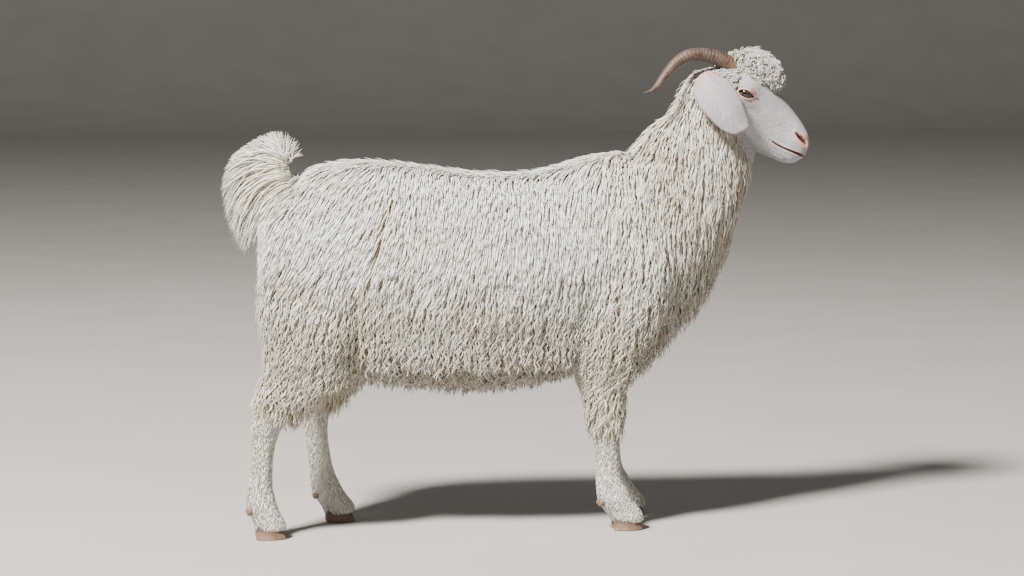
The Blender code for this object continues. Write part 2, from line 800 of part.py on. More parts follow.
def fleece_locks(core):
    """The coarse locks of the fleece, shorter on the upper neck and the legs."""
    surface = BVHTree.FromObject(core, bpy.context.evaluated_depsgraph_get())
    draw = np.random.default_rng(SEED)
    roots = [(root, normal, lie_of) for root, normal in spread(core, LOCK_SPACING, wears_fleece, SEED)]
    for x in np.arange(SPINE_FROM_X, SPINE_TO_X, -SPINE_SPACING):
        root, normal, _, _ = surface.ray_cast(Vector((x, SPINE_WANDER * draw.uniform(-1, 1), 1)),
                                              Vector((0, 0, -1)))
        roots.append((root, normal, lie_of_spine))
    locks = []
    for root, normal, lie in roots:
        size = draw.uniform(0.85, 1.12)
        if not SHORT_BELOW_Z < root.z < SHORT_ABOVE_Z:
            size *= SHORT_LOCK
        on_back = normal.z > BACK_SLOPE
        rise = FLEECE_DEPTH - CORE_DEPTH - LOCK_THICKNESS * 0.42
        rise *= 0.75 if on_back else 1.0
        sink = 0.0 if on_back else LOCK_SINK
        points, outs = drape(surface, root, normal, lie, LOCK_LENGTH * size, rise, sink)
        locks.append(lock(points, outs, LOCK_WIDTH * size, LOCK_THICKNESS, fleece_swell,
                          draw.uniform(-LOCK_BEND, LOCK_BEND)))
    return locks


def part_of(coat, name, keep, cut):
    """One named piece: the part of the coated body inside one space and clear of others."""
    made = copy_of(coat, name)
    for space in keep:
        combine(made, "INTERSECT", space)
    for space in cut:
        combine(made, "DIFFERENCE", space)
    remove(*keep, *cut)
    return finish(keep_largest(made), "fleece")


def horn(side, grow=0.0):
    """A ringed horn that sweeps back and out from the crown."""
    rows = smooth_rows(HORN_ROWS, 2)
    made = []
    for i, (x, y, z, depth, width) in enumerate(rows):
        ring = HORN_RING_RISE * (1 - i / len(rows)) * (i % 2)
        made.append((x, -side * y, z, depth + ring, width + ring))
    return path_tube("horn", made, HORN_SIDES, grow, slot="horn")


def ear(side, grow=0.0):
    """A thick leaf with a cupped blade, its stalk sunk towards the skull."""
    along = (EAR_TIP - EAR_ROOT).normalized()
    forward = (EAR_FORWARD - along * EAR_FORWARD.dot(along)).normalized()
    out = along.cross(forward).normalized()
    if out.y > 0:
        out.negate()
    outer, inner = [], []
    for i in range(EAR_ROWS + 1):
        t = i / EAR_ROWS
        half = EAR_HALF_WIDTH * ear_width(t) + grow
        sweep = EAR_SWEEP * math.sin(math.pi * min(t * 1.1, 1.0))
        end = grow * {0: -1, EAR_ROWS: 1}.get(i, 0)
        for k in range(EAR_COLUMNS + 1):
            s = 2 * k / EAR_COLUMNS - 1
            thick = EAR_THICKNESS * (1 - 0.45 * t) * (1 - 0.55 * s * s) / 2 + grow
            cup = EAR_CUP * ear_width(t) * (1 - s * s)
            centre = (EAR_ROOT + along * (EAR_LENGTH * t + end) + forward * (half * s - sweep * 0.4)
                      + out * (sweep + cup))
            outer.append(centre + out * thick)
            inner.append(centre - out * thick)
    points = [Vector((p.x, -side * p.y, p.z)) for p in outer + inner]
    return closed("ear", points, leaf_faces(EAR_ROWS, EAR_COLUMNS), "face")


def leaf_faces(rows, columns):
    """Triangles of a two-sided sheet of points, alike on both sides, with a closed rim."""
    wide = columns + 1
    base = wide * (rows + 1)
    faces = []
    for i in range(rows):
        for k in range(columns):
            a, b = i * wide + k, i * wide + k + 1
            c, d = a + wide, b + wide
            faces += [(a, b, d), (a, d, c)]
            faces += [(base + a, base + d, base + b), (base + a, base + c, base + d)]
    rim = list(range(wide))
    rim += [i * wide + columns for i in range(1, rows + 1)]
    rim += [rows * wide + k for k in range(columns - 1, -1, -1)]
    rim += [i * wide for i in range(rows - 1, 0, -1)]
    for a, b in zip(rim, rim[1:] + rim[:1]):
        faces += [(a, base + b, b), (a, base + a, base + b)]
    return faces


def ear_width(t):
    """Share of the full half width along the ear: stalk, broad blade, rounded tip."""
    stalk = 0.30
    blade = math.sin(math.pi * min(0.10 + t * 0.62, 1.0)) ** 0.8
    round_off = math.sqrt(max(1 - max((t - 0.72) / 0.29, 0) ** 2, 0.0))
    return max(stalk * (1 - t), blade * round_off, 0.06)


def eyeball(side, grow=0.0):
    centre = on_head(EYE_FACE, EYE_CROWN, side * EYE_Y)
    mesh = bpy.data.meshes.new("eye")
    made = bpy.data.objects.new("eye", mesh)
    bpy.context.scene.collection.objects.link(made)
    shape = bmesh.new()
    bmesh.ops.create_icosphere(shape, subdivisions=2, radius=EYE_RADIUS + grow,
                               matrix=Matrix.Translation(centre))
    shape.to_mesh(mesh)
    shape.free()
    return made


def lids(side):
    """Upper and lower lid as one almond ring that hugs the eyeball."""
    centre = on_head(EYE_FACE, EYE_CROWN, side * EYE_Y)
    along = FACE_AXIS * math.cos(LID_TILT) + CROWN_AXIS * math.sin(LID_TILT)
    across = CROWN_AXIS * math.cos(LID_TILT) - FACE_AXIS * math.sin(LID_TILT)
    points = []
    sides = 4
    for i in range(LID_TURNS):
        turn = 2 * math.pi * i / LID_TURNS
        u = LID_HALF_LENGTH * math.cos(turn)
        v = LID_HALF_HEIGHT * math.sin(turn) * abs(math.sin(turn)) ** 0.2
        reach = math.sqrt(max(EYE_RADIUS**2 - u**2 - v**2, 0.0))
        flat = along * u + across * v
        spot = flat + Vector((0, side * max(reach, LID_CORNER_REACH), 0))
        out = spot.normalized()
        away = flat.normalized()
        for k in range(sides):
            angle = 2 * math.pi * k / sides
            points.append(centre + spot + out * (LID_RADIUS * math.sin(angle))
                          + away * (LID_RADIUS * (1.0 + 1.6 * math.cos(angle))))
    faces = []
    for i in range(LID_TURNS):
        n = (i + 1) % LID_TURNS
        for k in range(sides):
            m = (k + 1) % sides
            faces.append((i * sides + k, i * sides + m, n * sides + m, n * sides + k))
    return closed("lids", points, faces)


def nostril_cutter(side):
    """A comma-shaped slot beside the tip of the nose."""
    rows = [(*on_head(face, crown, side * (cheek_y(face, crown) - 0.002)), opening, depth)
            for face, crown, opening, depth in NOSTRIL_ROWS]
    return path_tube("nostril", rows, 8)


def lips(side):
    """Upper and lower lip, as low rolls on either side of the mouth's line."""
    made = []
    for above in (1, -1):
        rows = []
        for face, crown in MOUTH_ROWS:
            height = crown + above * (LIP_RADIUS + MOUTH_OPENING / 4)
            y = cheek_y(face, height) - LIP_RADIUS + LIP_RISE
            rows.append((*on_head(face, height, side * y), LIP_RADIUS, LIP_RADIUS))
        made.append(path_tube("lip", rows, 5))
    return made


def mouth_cutter(side):
    """A thin curved wedge that parts the lips on one side."""
    top, bottom = [], []
    for face, crown in (*MOUTH_ROWS, (MOUTH_ROWS[-1][0] + 0.012, MOUTH_ROWS[-1][1])):
        top.append((face, crown + MOUTH_OPENING / 2))
        bottom.append((face, crown - MOUTH_OPENING / 2))
    top[0] = bottom[0] = MOUTH_ROWS[0]
    outline = top + bottom[:0:-1]
    inner = [on_head(f, c, side * max(cheek_y(f, c) - MOUTH_DEPTH, 0.002)) for f, c in outline]
    outer = [on_head(f, c, side * 0.06) for f, c in outline]
    count = len(outline)
    faces = [(k, (k + 1) % count, count + (k + 1) % count, count + k) for k in range(count)]
    faces += [tuple(reversed(range(count))), tuple(range(count, 2 * count))]
    return closed("mouth", inner + outer, faces)


def claw(centre_x, centre_y, outward):
    """One claw with a flat sole, a sloping toe and a low heel."""
    rings = []
    for z, size, slide in CLAW_RINGS:
        points = []
        for k in range(CLAW_SIDES):
            turn = 2 * math.pi * k / CLAW_SIDES
            toe = max(math.cos(turn), 0.0)
            x = centre_x + CLAW_LENGTH / 2 * size * math.cos(turn) + CLAW_TOE_SLOPE * slide * (0.4 + toe)
            y = centre_y + CLAW_WIDTH / 2 * size * (1 - CLAW_TOE_TAPER * toe**2) * math.sin(turn)
            points.append(Vector((x, y - outward * CLAW_TURN_IN * toe, z)))
        rings.append(points)
    return skin_rings("claw", rings, "claw")


def dewclaw(leg, inner, grow=0.0):
    """A small blunt claw at the back of the fetlock, pointing down and back."""
    rows = np.array(leg_rows(leg))[::-1]
    middle, half_length = (np.interp(DEWCLAW_Z, rows[:, 2], rows[:, c]) for c in (0, 3))
    start = Vector((middle - half_length + DEWCLAW_SINK, rows[0][1] + inner * DEWCLAW_SPREAD, DEWCLAW_Z))
    made = []
    for share, size in ((0.0, 0.80), (0.5, 1.0), (1.0, 0.45)):
        spot = start + DEWCLAW_WAY * (DEWCLAW_LENGTH * share)
        made.append((*spot, DEWCLAW_RADIUS * size, DEWCLAW_RADIUS * size))
    return path_tube("dewclaw", made, 6, grow, slot="claw")


def tail_lock(place, layer, width, reach):
    """One flat tapering lock of the tail, at a place from 0 to 1 along the fan."""
    fan = np.array(TAIL_FAN)
    row = [np.interp(place * (len(fan) - 1), range(len(fan)), fan[:, c]) for c in range(6)]
    points = []
    for i in range(TAIL_LOCK_STEPS + 1):
        t = i / TAIL_LOCK_STEPS * reach
        weights = ((1 - t) ** 2, 2 * t * (1 - t), t * t)
        x = sum(weight * row[2 * k] for k, weight in enumerate(weights))
        z = sum(weight * row[2 * k + 1] for k, weight in enumerate(weights))
        y = layer * TAIL_HALF_FAN * (0.35 + 0.65 * math.sin(math.pi * min(t, 1.0) * 0.8))
        points.append(Vector((x, y, z)))
    outs = [Vector((0, layer + 0.3, 0.25)).normalized()] * len(points)
    return lock(points, outs, width, TAIL_LOCK_THICKNESS, hair_swell)


def build_tail():
    """The raised dock with its fan of long hair."""
    rows = [(x, 0.0, z, depth, width) for x, z, depth, width in smooth_rows(TAIL_ROWS, 2)]
    whole = path_tube("whole_tail", rows, 10)
    draw = np.random.default_rng(SEED + 1)
    unite(whole, [tail_lock((k + 0.5) / TAIL_LOCKS, k % 3 - 1,
                            TAIL_LOCK_WIDTH * draw.uniform(0.85, 1.15), draw.uniform(0.90, 1.04))
                  for k in range(TAIL_LOCKS)])
    made = thinned(whole, "tail", TAIL_FACES)
    space = tail_space(-GAP / 2, TAIL_HALF_SLOT - GAP)
    combine(made, "INTERSECT", space)
    remove(space, whole)
    return finish(keep_largest(made), "fleece")


def build_trunk(coat):
    """Torso and neck, cut clear of what grows from them."""
    half = GAP / 2
    part_of(coat, "torso", [], [slab("front", NECK_CUT, -half), hind_space(half),
                                fore_space(1, half), fore_space(-1, half),
                                tail_space(half, TAIL_HALF_SLOT)])
    above = [slab("head", HEAD_CUT, -half)]
    above += [form(side, GAP) for form in (ear, horn) for side in (1, -1)]
    for item in above:
        item.data.transform(HEAD_TURN)
    part_of(coat, "neck", [slab("front", NECK_CUT, half)], above)


def build_leg(coat, leg):
    """Upper leg in its locks, shank, two claws and two dewclaws."""
    side = 1 if leg.endswith("left") else -1
    half = GAP / 2
    space = fore_space(side, -half) if leg.startswith("fore") else hind_space(-half, side)
    below = box("below", (-1, -1, -1), (1, 1, SHANK_TOP_Z[leg[:4]] + half))
    part_of(coat, "leg_" + leg, [space], [below])
    build_shank(leg)
    foot = leg_rows(leg)[-2]
    for outward in (1, -1):
        which = "outer" if outward == side else "inner"
        hoof = claw(foot[0], foot[1] + outward * (CLAW_WIDTH + CLAW_SPLIT) / 2, outward)
        hoof.name = f"claw_{leg}_{which}"
        finish(hoof, "claw")
        spur = dewclaw(leg, outward)
        spur.name = f"dewclaw_{leg}_{which}"
        finish(spur, "claw")


def build_head(core):
    """The head with forelock, lids, lips and nostrils, then its ears, eyes and horns."""
    fine = thinned(core, "fine", FINE_FACES)
    fine.data.transform(HEAD_TURN.inverted())
    rough_cut = slab("rough_cut", HEAD_CUT, -0.004)
    combine(fine, "INTERSECT", rough_cut)
    unite(fine, forelock(fine))
    head = thinned(fine, "head", HEAD_FACES)
    unite(head, [lids(1), lids(-1)] + lips(1) + lips(-1))
    cut = slab("cut", HEAD_CUT, GAP / 2)
    combine(head, "INTERSECT", cut)
    remove(fine, rough_cut, cut)
    cutters = [form(side, GAP) for form in (eyeball, horn, ear) for side in (1, -1)]
    cutters += [form(side) for form in (nostril_cutter, mouth_cutter) for side in (1, -1)]
    for cutter in cutters:
        combine(head, "DIFFERENCE", cutter)
    remove(*cutters)
    finish(keep_largest(head), "face")
    head.data.transform(HEAD_TURN)
    for side, word in ((1, "left"), (-1, "right")):
        for form, name, slot in ((eyeball, "eye_", "eye"), (horn, "horn_", "horn"), (ear, "ear_", "face")):
            made = form(side)
            made.name = name + word
            made.data.transform(HEAD_TURN)
            finish(made, slot)


def centre_on_floor():
    """Moves every piece together, so that the middle of the whole stands over the origin."""
    points = np.vstack([[v.co for v in item.data.vertices] for item in bpy.data.objects])
    low, high = points.min(axis=0), points.max(axis=0)
    shift = Vector((-(low[0] + high[0]) / 2, -(low[1] + high[1]) / 2, -low[2]))
    for item in bpy.data.objects:
        item.data.transform(Matrix.Translation(shift))


def main():
    clear_scene()
    core = felted_core()
    body = thinned(core, "body", BODY_FACES)
    coated = copy_of(body, "coated")
    keep_largest(unite(coated, fleece_locks(body)))
    coat = thinned(coated, "coat", COAT_FACES)
    build_trunk(coat)
    for leg in FOOT_SHIFT:
        build_leg(coat, leg)
    build_head(core)
    build_tail()
    remove(core, body, coated, coat)
    centre_on_floor()


main()
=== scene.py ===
import math

import bpy
import numpy as np
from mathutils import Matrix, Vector
from mathutils.bvhtree import BVHTree
from mathutils.kdtree import KDTree


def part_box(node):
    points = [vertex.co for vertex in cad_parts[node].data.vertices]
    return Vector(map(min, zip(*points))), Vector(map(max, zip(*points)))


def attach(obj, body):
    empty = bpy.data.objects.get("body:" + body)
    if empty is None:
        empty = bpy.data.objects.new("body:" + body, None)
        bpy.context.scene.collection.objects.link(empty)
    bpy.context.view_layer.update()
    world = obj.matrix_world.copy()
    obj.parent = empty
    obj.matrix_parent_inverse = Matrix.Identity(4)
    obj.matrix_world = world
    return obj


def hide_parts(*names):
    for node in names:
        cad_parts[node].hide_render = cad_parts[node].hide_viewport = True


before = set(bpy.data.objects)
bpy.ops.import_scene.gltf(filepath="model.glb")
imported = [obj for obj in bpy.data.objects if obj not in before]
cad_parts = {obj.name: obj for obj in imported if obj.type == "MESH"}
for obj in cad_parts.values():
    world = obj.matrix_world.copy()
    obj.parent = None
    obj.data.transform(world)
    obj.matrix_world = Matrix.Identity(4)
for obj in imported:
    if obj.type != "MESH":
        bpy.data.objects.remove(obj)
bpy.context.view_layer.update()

for spare in ("Cube", "Light", "Camera"):
    if spare in bpy.data.objects:
        bpy.data.objects.remove(bpy.data.objects[spare])

# Where things are
# The head has its own axes: along the face, across to the left, and up through the crown.
pose = {
    "facePitch": math.radians(-30.7),
    "headYaw": math.radians(-8),
    "headPivotX": 0.33,
    "eyeFace": -0.0388,
    "eyeCrown": 0.8341,
    "eyeSide": 0.0465,
}
faceAxis = np.array([math.cos(pose["facePitch"]), 0, math.sin(pose["facePitch"])])
crownAxis = np.array([-math.sin(pose["facePitch"]), 0, math.cos(pose["facePitch"])])
acrossAxis = np.array([0.0, 1.0, 0.0])
yawCos, yawSin = math.cos(pose["headYaw"]), math.sin(pose["headYaw"])
yawTurn = np.array([[yawCos, -yawSin, 0], [yawSin, yawCos, 0], [0, 0, 1]])
pivot = np.array([pose["headPivotX"], 0, 0])


def headPoint(face, across, crown):
    return np.multiply.outer(face, faceAxis) + np.multiply.outer(across, acrossAxis) \
        + np.multiply.outer(crown, crownAxis)


def turned(points):
    return (points - pivot) @ yawTurn.T + pivot


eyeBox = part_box("eye_right")
eyeMiddle = np.array((eyeBox[0] + eyeBox[1]) / 2)
shift = eyeMiddle - turned(headPoint(pose["eyeFace"], -pose["eyeSide"], pose["eyeCrown"]))
shift[2] = 0.0


def headToWorld(face, across, crown):
    return turned(headPoint(np.asarray(face), np.asarray(across), np.asarray(crown))) + shift


def worldToHead(points):
    flat = (points - shift - pivot) @ yawTurn + pivot
    return flat @ faceAxis, flat[..., 1], flat @ crownAxis


def smoothStep(low, high, value):
    t = np.clip((value - low) / (high - low), 0, 1)
    return t * t * (3 - 2 * t)


def hump(value, middle, width):  # a soft rise to 1 at the middle
    return np.exp(-(((value - middle) / width) ** 2))


def ringAngles(sides):
    return np.arange(sides) * 2 * math.pi / sides


def unit(vectors):
    return vectors / np.maximum(np.linalg.norm(vectors, axis=-1, keepdims=True), 1e-12)


def smoothRows(rows, steps):  # a smooth curve through the rows, with this many steps between two of them
    table = np.array(rows, float)
    padded = np.vstack([2 * table[0] - table[1], table, 2 * table[-1] - table[-2]])
    a, b, c, d = (padded[i:len(table) - 1 + i, None] for i in range(4))
    t = (np.arange(steps) / steps)[None, :, None]
    made = 0.5 * (2 * b + (c - a) * t + (2 * a - 5 * b + 4 * c - d) * t**2
                  + (3 * b - a - 3 * c + d) * t**3)
    return np.vstack([made.reshape(-1, table.shape[1]), table[-1:]])


# Meshes
def addVectors(mesh, vectors):
    for word, values in vectors.items():
        layer = mesh.attributes.new(word, "FLOAT_VECTOR", "POINT")
        layer.data.foreach_set("vector", np.asarray(values, np.float32).ravel())


def makeMesh(name, verts, quads, tris=None, material=None, vectors=None, uv=None):
    quads = np.asarray(quads)
    tris = np.zeros((0, 3), int) if tris is None or len(tris) == 0 else np.asarray(tris)
    corners = np.concatenate([quads.ravel(), tris.ravel()]).astype(np.int32)
    starts = np.concatenate([np.arange(len(quads)) * 4, len(quads) * 4 + np.arange(len(tris)) * 3])
    mesh = bpy.data.meshes.new(name)
    mesh.vertices.add(len(verts))
    mesh.vertices.foreach_set("co", np.asarray(verts, np.float32).ravel())
    mesh.loops.add(len(corners))
    mesh.loops.foreach_set("vertex_index", corners)
    mesh.polygons.add(len(starts))
    mesh.polygons.foreach_set("loop_start", starts.astype(np.int32))
    mesh.update(calc_edges=True)
    mesh.polygons.foreach_set("use_smooth", np.ones(len(starts), bool))
    addVectors(mesh, vectors or {})
    if uv is not None:
        layer = mesh.uv_layers.new(name="OFBake")
        layer.uv.foreach_set("vector", np.asarray(uv, np.float32)[corners].ravel())
    made = bpy.data.objects.new(name, mesh)
    bpy.context.scene.collection.objects.link(made)
    if material:
        mesh.materials.append(material)
    return made


def ringFaces(rings, sides):
    r, k = np.meshgrid(np.arange(rings - 1), np.arange(sides), indexing="ij")
    n = (k + 1) % sides
    quads = np.stack([r * sides + k, r * sides + n, (r + 1) * sides + n, (r + 1) * sides + k], -1)
    k = np.arange(sides)
    n = (k + 1) % sides
    first, last = rings * sides, rings * sides + 1
    base = (rings - 1) * sides
    caps = np.vstack([np.stack([n, k, np.full(sides, first)], -1),
                      np.stack([base + k, base + n, np.full(sides, last)], -1)])
    return quads.reshape(-1, 4), caps


def signedVolume(verts, quads, tris):
    allTris = np.vstack([tris, quads[:, [0, 1, 2]], quads[:, [0, 2, 3]]]) if len(quads) else tris
    a, b, c = (verts[allTris[:, i]] for i in range(3))
    return float(np.einsum("ij,ij->i", a, np.cross(b, c)).sum())


def ringMesh(name, rings, material=None, vectors=None):
    rings = np.asarray(rings, float)
    count, sides = rings.shape[:2]
    verts = np.vstack([rings.reshape(-1, 3), rings[0].mean(0), rings[-1].mean(0)])
    quads, tris = ringFaces(count, sides)
    if signedVolume(verts, quads, tris) < 0:
        quads, tris = quads[:, ::-1], tris[:, ::-1]
    if vectors:
        vectors = {k: np.vstack([np.asarray(v).reshape(-1, 3), v[0].mean(0), v[-1].mean(0)])
                   for k, v in vectors.items()}
    return makeMesh(name, verts, quads, tris, material, vectors)


def tubeRings(rows, sides):  # rows of x, y, z, half depth and half width
    rows = np.asarray(rows, float)
    centres = rows[:, :3]
    ahead = np.empty_like(centres)
    ahead[1:-1] = centres[2:] - centres[:-2]
    ahead[0], ahead[-1] = centres[1] - centres[0], centres[-1] - centres[-2]
    ahead = unit(ahead)
    side = unit(acrossAxis - ahead * ahead[:, 1:2])
    up = np.cross(side, ahead)
    turn = ringAngles(sides)
    wide = rows[:, 4, None]
    return (centres[:, None] + up[:, None] * (rows[:, 3, None] * np.sin(turn))[..., None]
            + side[:, None] * (wide * np.cos(turn))[..., None])


def baked(item):  # the item with its modifiers applied
    bpy.context.view_layer.update()
    graph = bpy.context.evaluated_depsgraph_get()
    mesh = bpy.data.meshes.new_from_object(item.evaluated_get(graph))
    item.modifiers.clear()
    item.data = mesh
    return item


def joined(name, items):
    verts, quads, tris, start = [], [], [], 0
    for item in items:
        mesh = item.data
        co = np.empty(len(mesh.vertices) * 3, np.float32)
        mesh.vertices.foreach_get("co", co)
        verts.append(co.reshape(-1, 3))
        for face in mesh.polygons:
            corners = [start + v for v in face.vertices]
            (quads if len(corners) == 4 else tris).append(corners)
        start += len(mesh.vertices)
        bpy.data.objects.remove(item)
    return makeMesh(name, np.vstack(verts), quads, tris)


def vertsOf(item):
    co = np.empty(len(item.data.vertices) * 3, np.float32)
    item.data.vertices.foreach_get("co", co)
    return co.reshape(-1, 3).astype(float)


def unite(target, others):
    for other in others:
        join = target.modifiers.new("join", "BOOLEAN")
        join.operation = "UNION"
        join.solver = "MANIFOLD"
        join.object = other
        baked(target)
        bpy.data.objects.remove(other)


def treeOf(item):
    faces = [tuple(face.vertices) for face in item.data.polygons]
    return BVHTree.FromPolygons([tuple(v) for v in vertsOf(item)], faces)


def settle(piece, slot, *nodes):
    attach(piece, "root")
    if nodes:
        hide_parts(*nodes)


# Materials
def newMaterial(name, roughness, sockets=None):
    made = bpy.data.materials.new(name)
    made.use_nodes = True
    tree = made.node_tree
    shader = tree.nodes["Principled BSDF"]
    shader.inputs["Roughness"].default_value = roughness
    for word, value in (sockets or {}).items():
        shader.inputs[word].default_value = value
    return made, tree, shader


def node(tree, kind, sockets=None):
    made = tree.nodes.new("ShaderNode" + kind)
    for word, value in (sockets or {}).items():
        made.inputs[word].default_value = value
    return made


def link(tree, source, target):
    tree.links.new(source, target)


def plug(tree, socket, value):  # a number, a colour or another node's output
    if isinstance(value, (int, float)):
        socket.default_value = value
    elif isinstance(value, tuple):
        socket.default_value = (*value, 1.0)
    else:
        link(tree, value, socket)


def attribute(tree, name):
    made = node(tree, "Attribute")
    made.attribute_name = name
    split = node(tree, "SeparateXYZ")
    link(tree, made.outputs["Vector"], split.inputs[0])
    return split.outputs


def maths(tree, operation, a, b=None):
    made = node(tree, "Math")
    made.operation = operation
    for socket, value in zip(made.inputs, (a, b)):
        if value is not None:
            plug(tree, socket, value)
    return made.outputs[0]


def times(tree, a, b):
    return maths(tree, "MULTIPLY", a, b)


def plus(tree, a, b):
    return maths(tree, "ADD", a, b)


def mixColour(tree, factor, a, b, blend="MIX"):
    made = node(tree, "Mix")
    made.data_type = "RGBA"
    made.blend_type = blend
    # the colour sockets of a mix node stand after those for numbers and vectors
    for index, value in ((0, factor), (6, a), (7, b)):
        plug(tree, made.inputs[index], value)
    return made.outputs[2]


def noiseOf(tree, scale, detail, stretch=None, turn=None, roughness=0.5):
    spot = node(tree, "TexCoord").outputs["Object"]
    if stretch:
        mapping = node(tree, "Mapping", {"Scale": stretch})
        if turn:
            mapping.inputs["Rotation"].default_value = turn
        link(tree, spot, mapping.inputs["Vector"])
        spot = mapping.outputs[0]
    made = node(tree, "TexNoise", {"Scale": scale, "Detail": detail, "Roughness": roughness})
    link(tree, spot, made.inputs["Vector"])
    return made.outputs["Fac"]


def ramp(tree, value, stops):  # a stop's colour may be one number, for a grey
    made = node(tree, "ValToRGB")
    band = made.color_ramp
    while len(band.elements) < len(stops):
        band.elements.new(0.5)
    for element, (spot, colour) in zip(band.elements, stops):
        element.position = spot
        element.color = (*colour, 1.0) if isinstance(colour, tuple) else (colour, colour, colour, 1.0)
    link(tree, value, made.inputs[0])
    return made.outputs[0]


def shaded(tree, colour, value, stops):
    return mixColour(tree, 1.0, colour, ramp(tree, value, stops), "MULTIPLY")


def bump(tree, shader, height, strength, distance):
    made = node(tree, "Bump", {"Strength": strength, "Distance": distance})
    link(tree, height, made.inputs["Height"])
    link(tree, made.outputs[0], shader.inputs["Normal"])


paint = {
    "stain": (0.60, 0.485, 0.27),
    "face": (0.360, 0.360, 0.372),
    "ear": (0.275, 0.272, 0.302),
    "under": (0.78, 0.73, 0.65),
    "pink": (0.52, 0.27, 0.22),
    "dark": (0.060, 0.022, 0.018),
}


def marksAndShadeColours(tree, colour):
    # the dark mark is partly painted shade
    marks = attribute(tree, "marks")
    colour = mixColour(tree, marks[2], colour, paint["stain"])
    colour = mixColour(tree, marks[0], colour, paint["pink"])
    return mixColour(tree, marks[1], colour, paint["dark"])


def mohairMaterial(name, tip, middle, root, fibres, groove):
    made, tree, shader = newMaterial(name, 0.60, {
        "Sheen Weight": 0.3, "Sheen Roughness": 0.4, "Subsurface Weight": 0.22, "Subsurface Scale": 0.012})
    hair = attribute(tree, "hair")  # x the strand's tone, random and lowered where shade is painted, y along it, z across it
    # darker towards the root: painted shade deep in the coat
    colour = ramp(tree, hair[1], ((0.0, root), (0.35, middle), (0.8, tip)))
    colour = shaded(tree, colour, noiseOf(tree, 9.0, 4.0), ((0.35, (0.94, 0.91, 0.86)), (0.62, 1.0)))
    colour = shaded(tree, colour, hair[0], ((0.0, (0.66, 0.62, 0.565)), (0.5, (0.985, 0.975, 0.96)),
                                            (1.0, (1.02, 1.01, 1.0))))
    # many fine fibres side by side along each lock, a little different on every lock
    across = times(tree, hair[2], fibres)
    spot = node(tree, "CombineXYZ")
    link(tree, plus(tree, across, times(tree, hair[0], 91.0)), spot.inputs[0])
    link(tree, times(tree, hair[1], 1.6), spot.inputs[1])
    link(tree, times(tree, hair[0], 57.0), spot.inputs[2])
    strands = node(tree, "TexNoise", {"Scale": 1.0, "Detail": 3.0, "Roughness": 0.7})
    link(tree, spot.outputs[0], strands.inputs["Vector"])
    # the grooves between the fibres are painted darker, as shade
    colour = shaded(tree, colour, strands.outputs["Fac"], (
        (0.40, (groove, groove * 0.96, groove * 0.90)), (0.50, (0.98, 0.975, 0.965)), (0.60, 1.05)))
    link(tree, marksAndShadeColours(tree, colour), shader.inputs["Base Color"])
    bump(tree, shader, strands.outputs["Fac"], 0.8, 0.0009)
    return made


def skinMaterial(name, base):
    roughness, wetGloss = 0.66, 0.38
    made, tree, shader = newMaterial(name, roughness, {
        "Sheen Weight": 0.06, "Sheen Roughness": 0.5, "Subsurface Weight": 0.12, "Subsurface Scale": 0.008})
    areas = attribute(tree, "areas")  # x wool, y face, z wet
    colour = mixColour(tree, areas[0], base, paint["under"])
    colour = shaded(tree, colour, noiseOf(tree, 38.0, 5.0),
                    ((0.35, (0.90, 0.87, 0.86)), (0.65, (1.02, 1.02, 1.03))))
    # the short hairs lie along the face, and downwards elsewhere
    along = noiseOf(tree, 1.0, 3.0, (90.0, 620.0, 620.0), (0, pose["facePitch"], 0))
    down = noiseOf(tree, 1.0, 3.0, (520.0, 520.0, 80.0))
    height = node(tree, "Mix")
    height.data_type = "FLOAT"
    link(tree, areas[1], height.inputs[0])
    link(tree, down, height.inputs[2])
    link(tree, along, height.inputs[3])
    colour = shaded(tree, colour, height.outputs[0], ((0.38, (0.78, 0.76, 0.76)), (0.50, 0.99), (0.62, 1.06)))
    link(tree, marksAndShadeColours(tree, colour), shader.inputs["Base Color"])
    grain = times(tree, noiseOf(tree, 900.0, 2.0), 0.25)
    bump(tree, shader, plus(tree, height.outputs[0], grain), 0.6, 0.0014)
    wet = maths(tree, "SUBTRACT", roughness, times(tree, areas[2], wetGloss))
    link(tree, wet, shader.inputs["Roughness"])
    return made


def hornMaterial():
    made, tree, shader = newMaterial("hornKeratin", 0.5, {"Coat Weight": 0.08, "Coat Roughness": 0.4})
    data = attribute(tree, "horn")  # x along, z ridge
    colour = ramp(tree, data[0], (
        (0.0, (0.24, 0.108, 0.042)), (0.16, (0.155, 0.076, 0.036)), (0.30, (0.072, 0.046, 0.031)),
        (0.75, (0.082, 0.054, 0.036)), (0.90, (0.060, 0.039, 0.028)), (1.0, (0.012, 0.009, 0.006))))
    colour = shaded(tree, colour, noiseOf(tree, 70.0, 8.0, None, None, 0.7),
                    ((0.36, (0.52, 0.48, 0.46)), (0.52, 1.0), (0.66, (1.45, 1.38, 1.32))))
    colour = shaded(tree, colour, data[2], ((0.0, (0.80, 0.77, 0.75)), (0.5, 1.0), (1.0, (1.10, 1.09, 1.08))))
    link(tree, colour, shader.inputs["Base Color"])
    fine = maths(tree, "SINE", times(tree, data[0], 760.0))
    total = plus(tree, times(tree, fine, 0.18), noiseOf(tree, 220.0, 7.0))
    bump(tree, shader, total, 0.6, 0.0012)
    return made


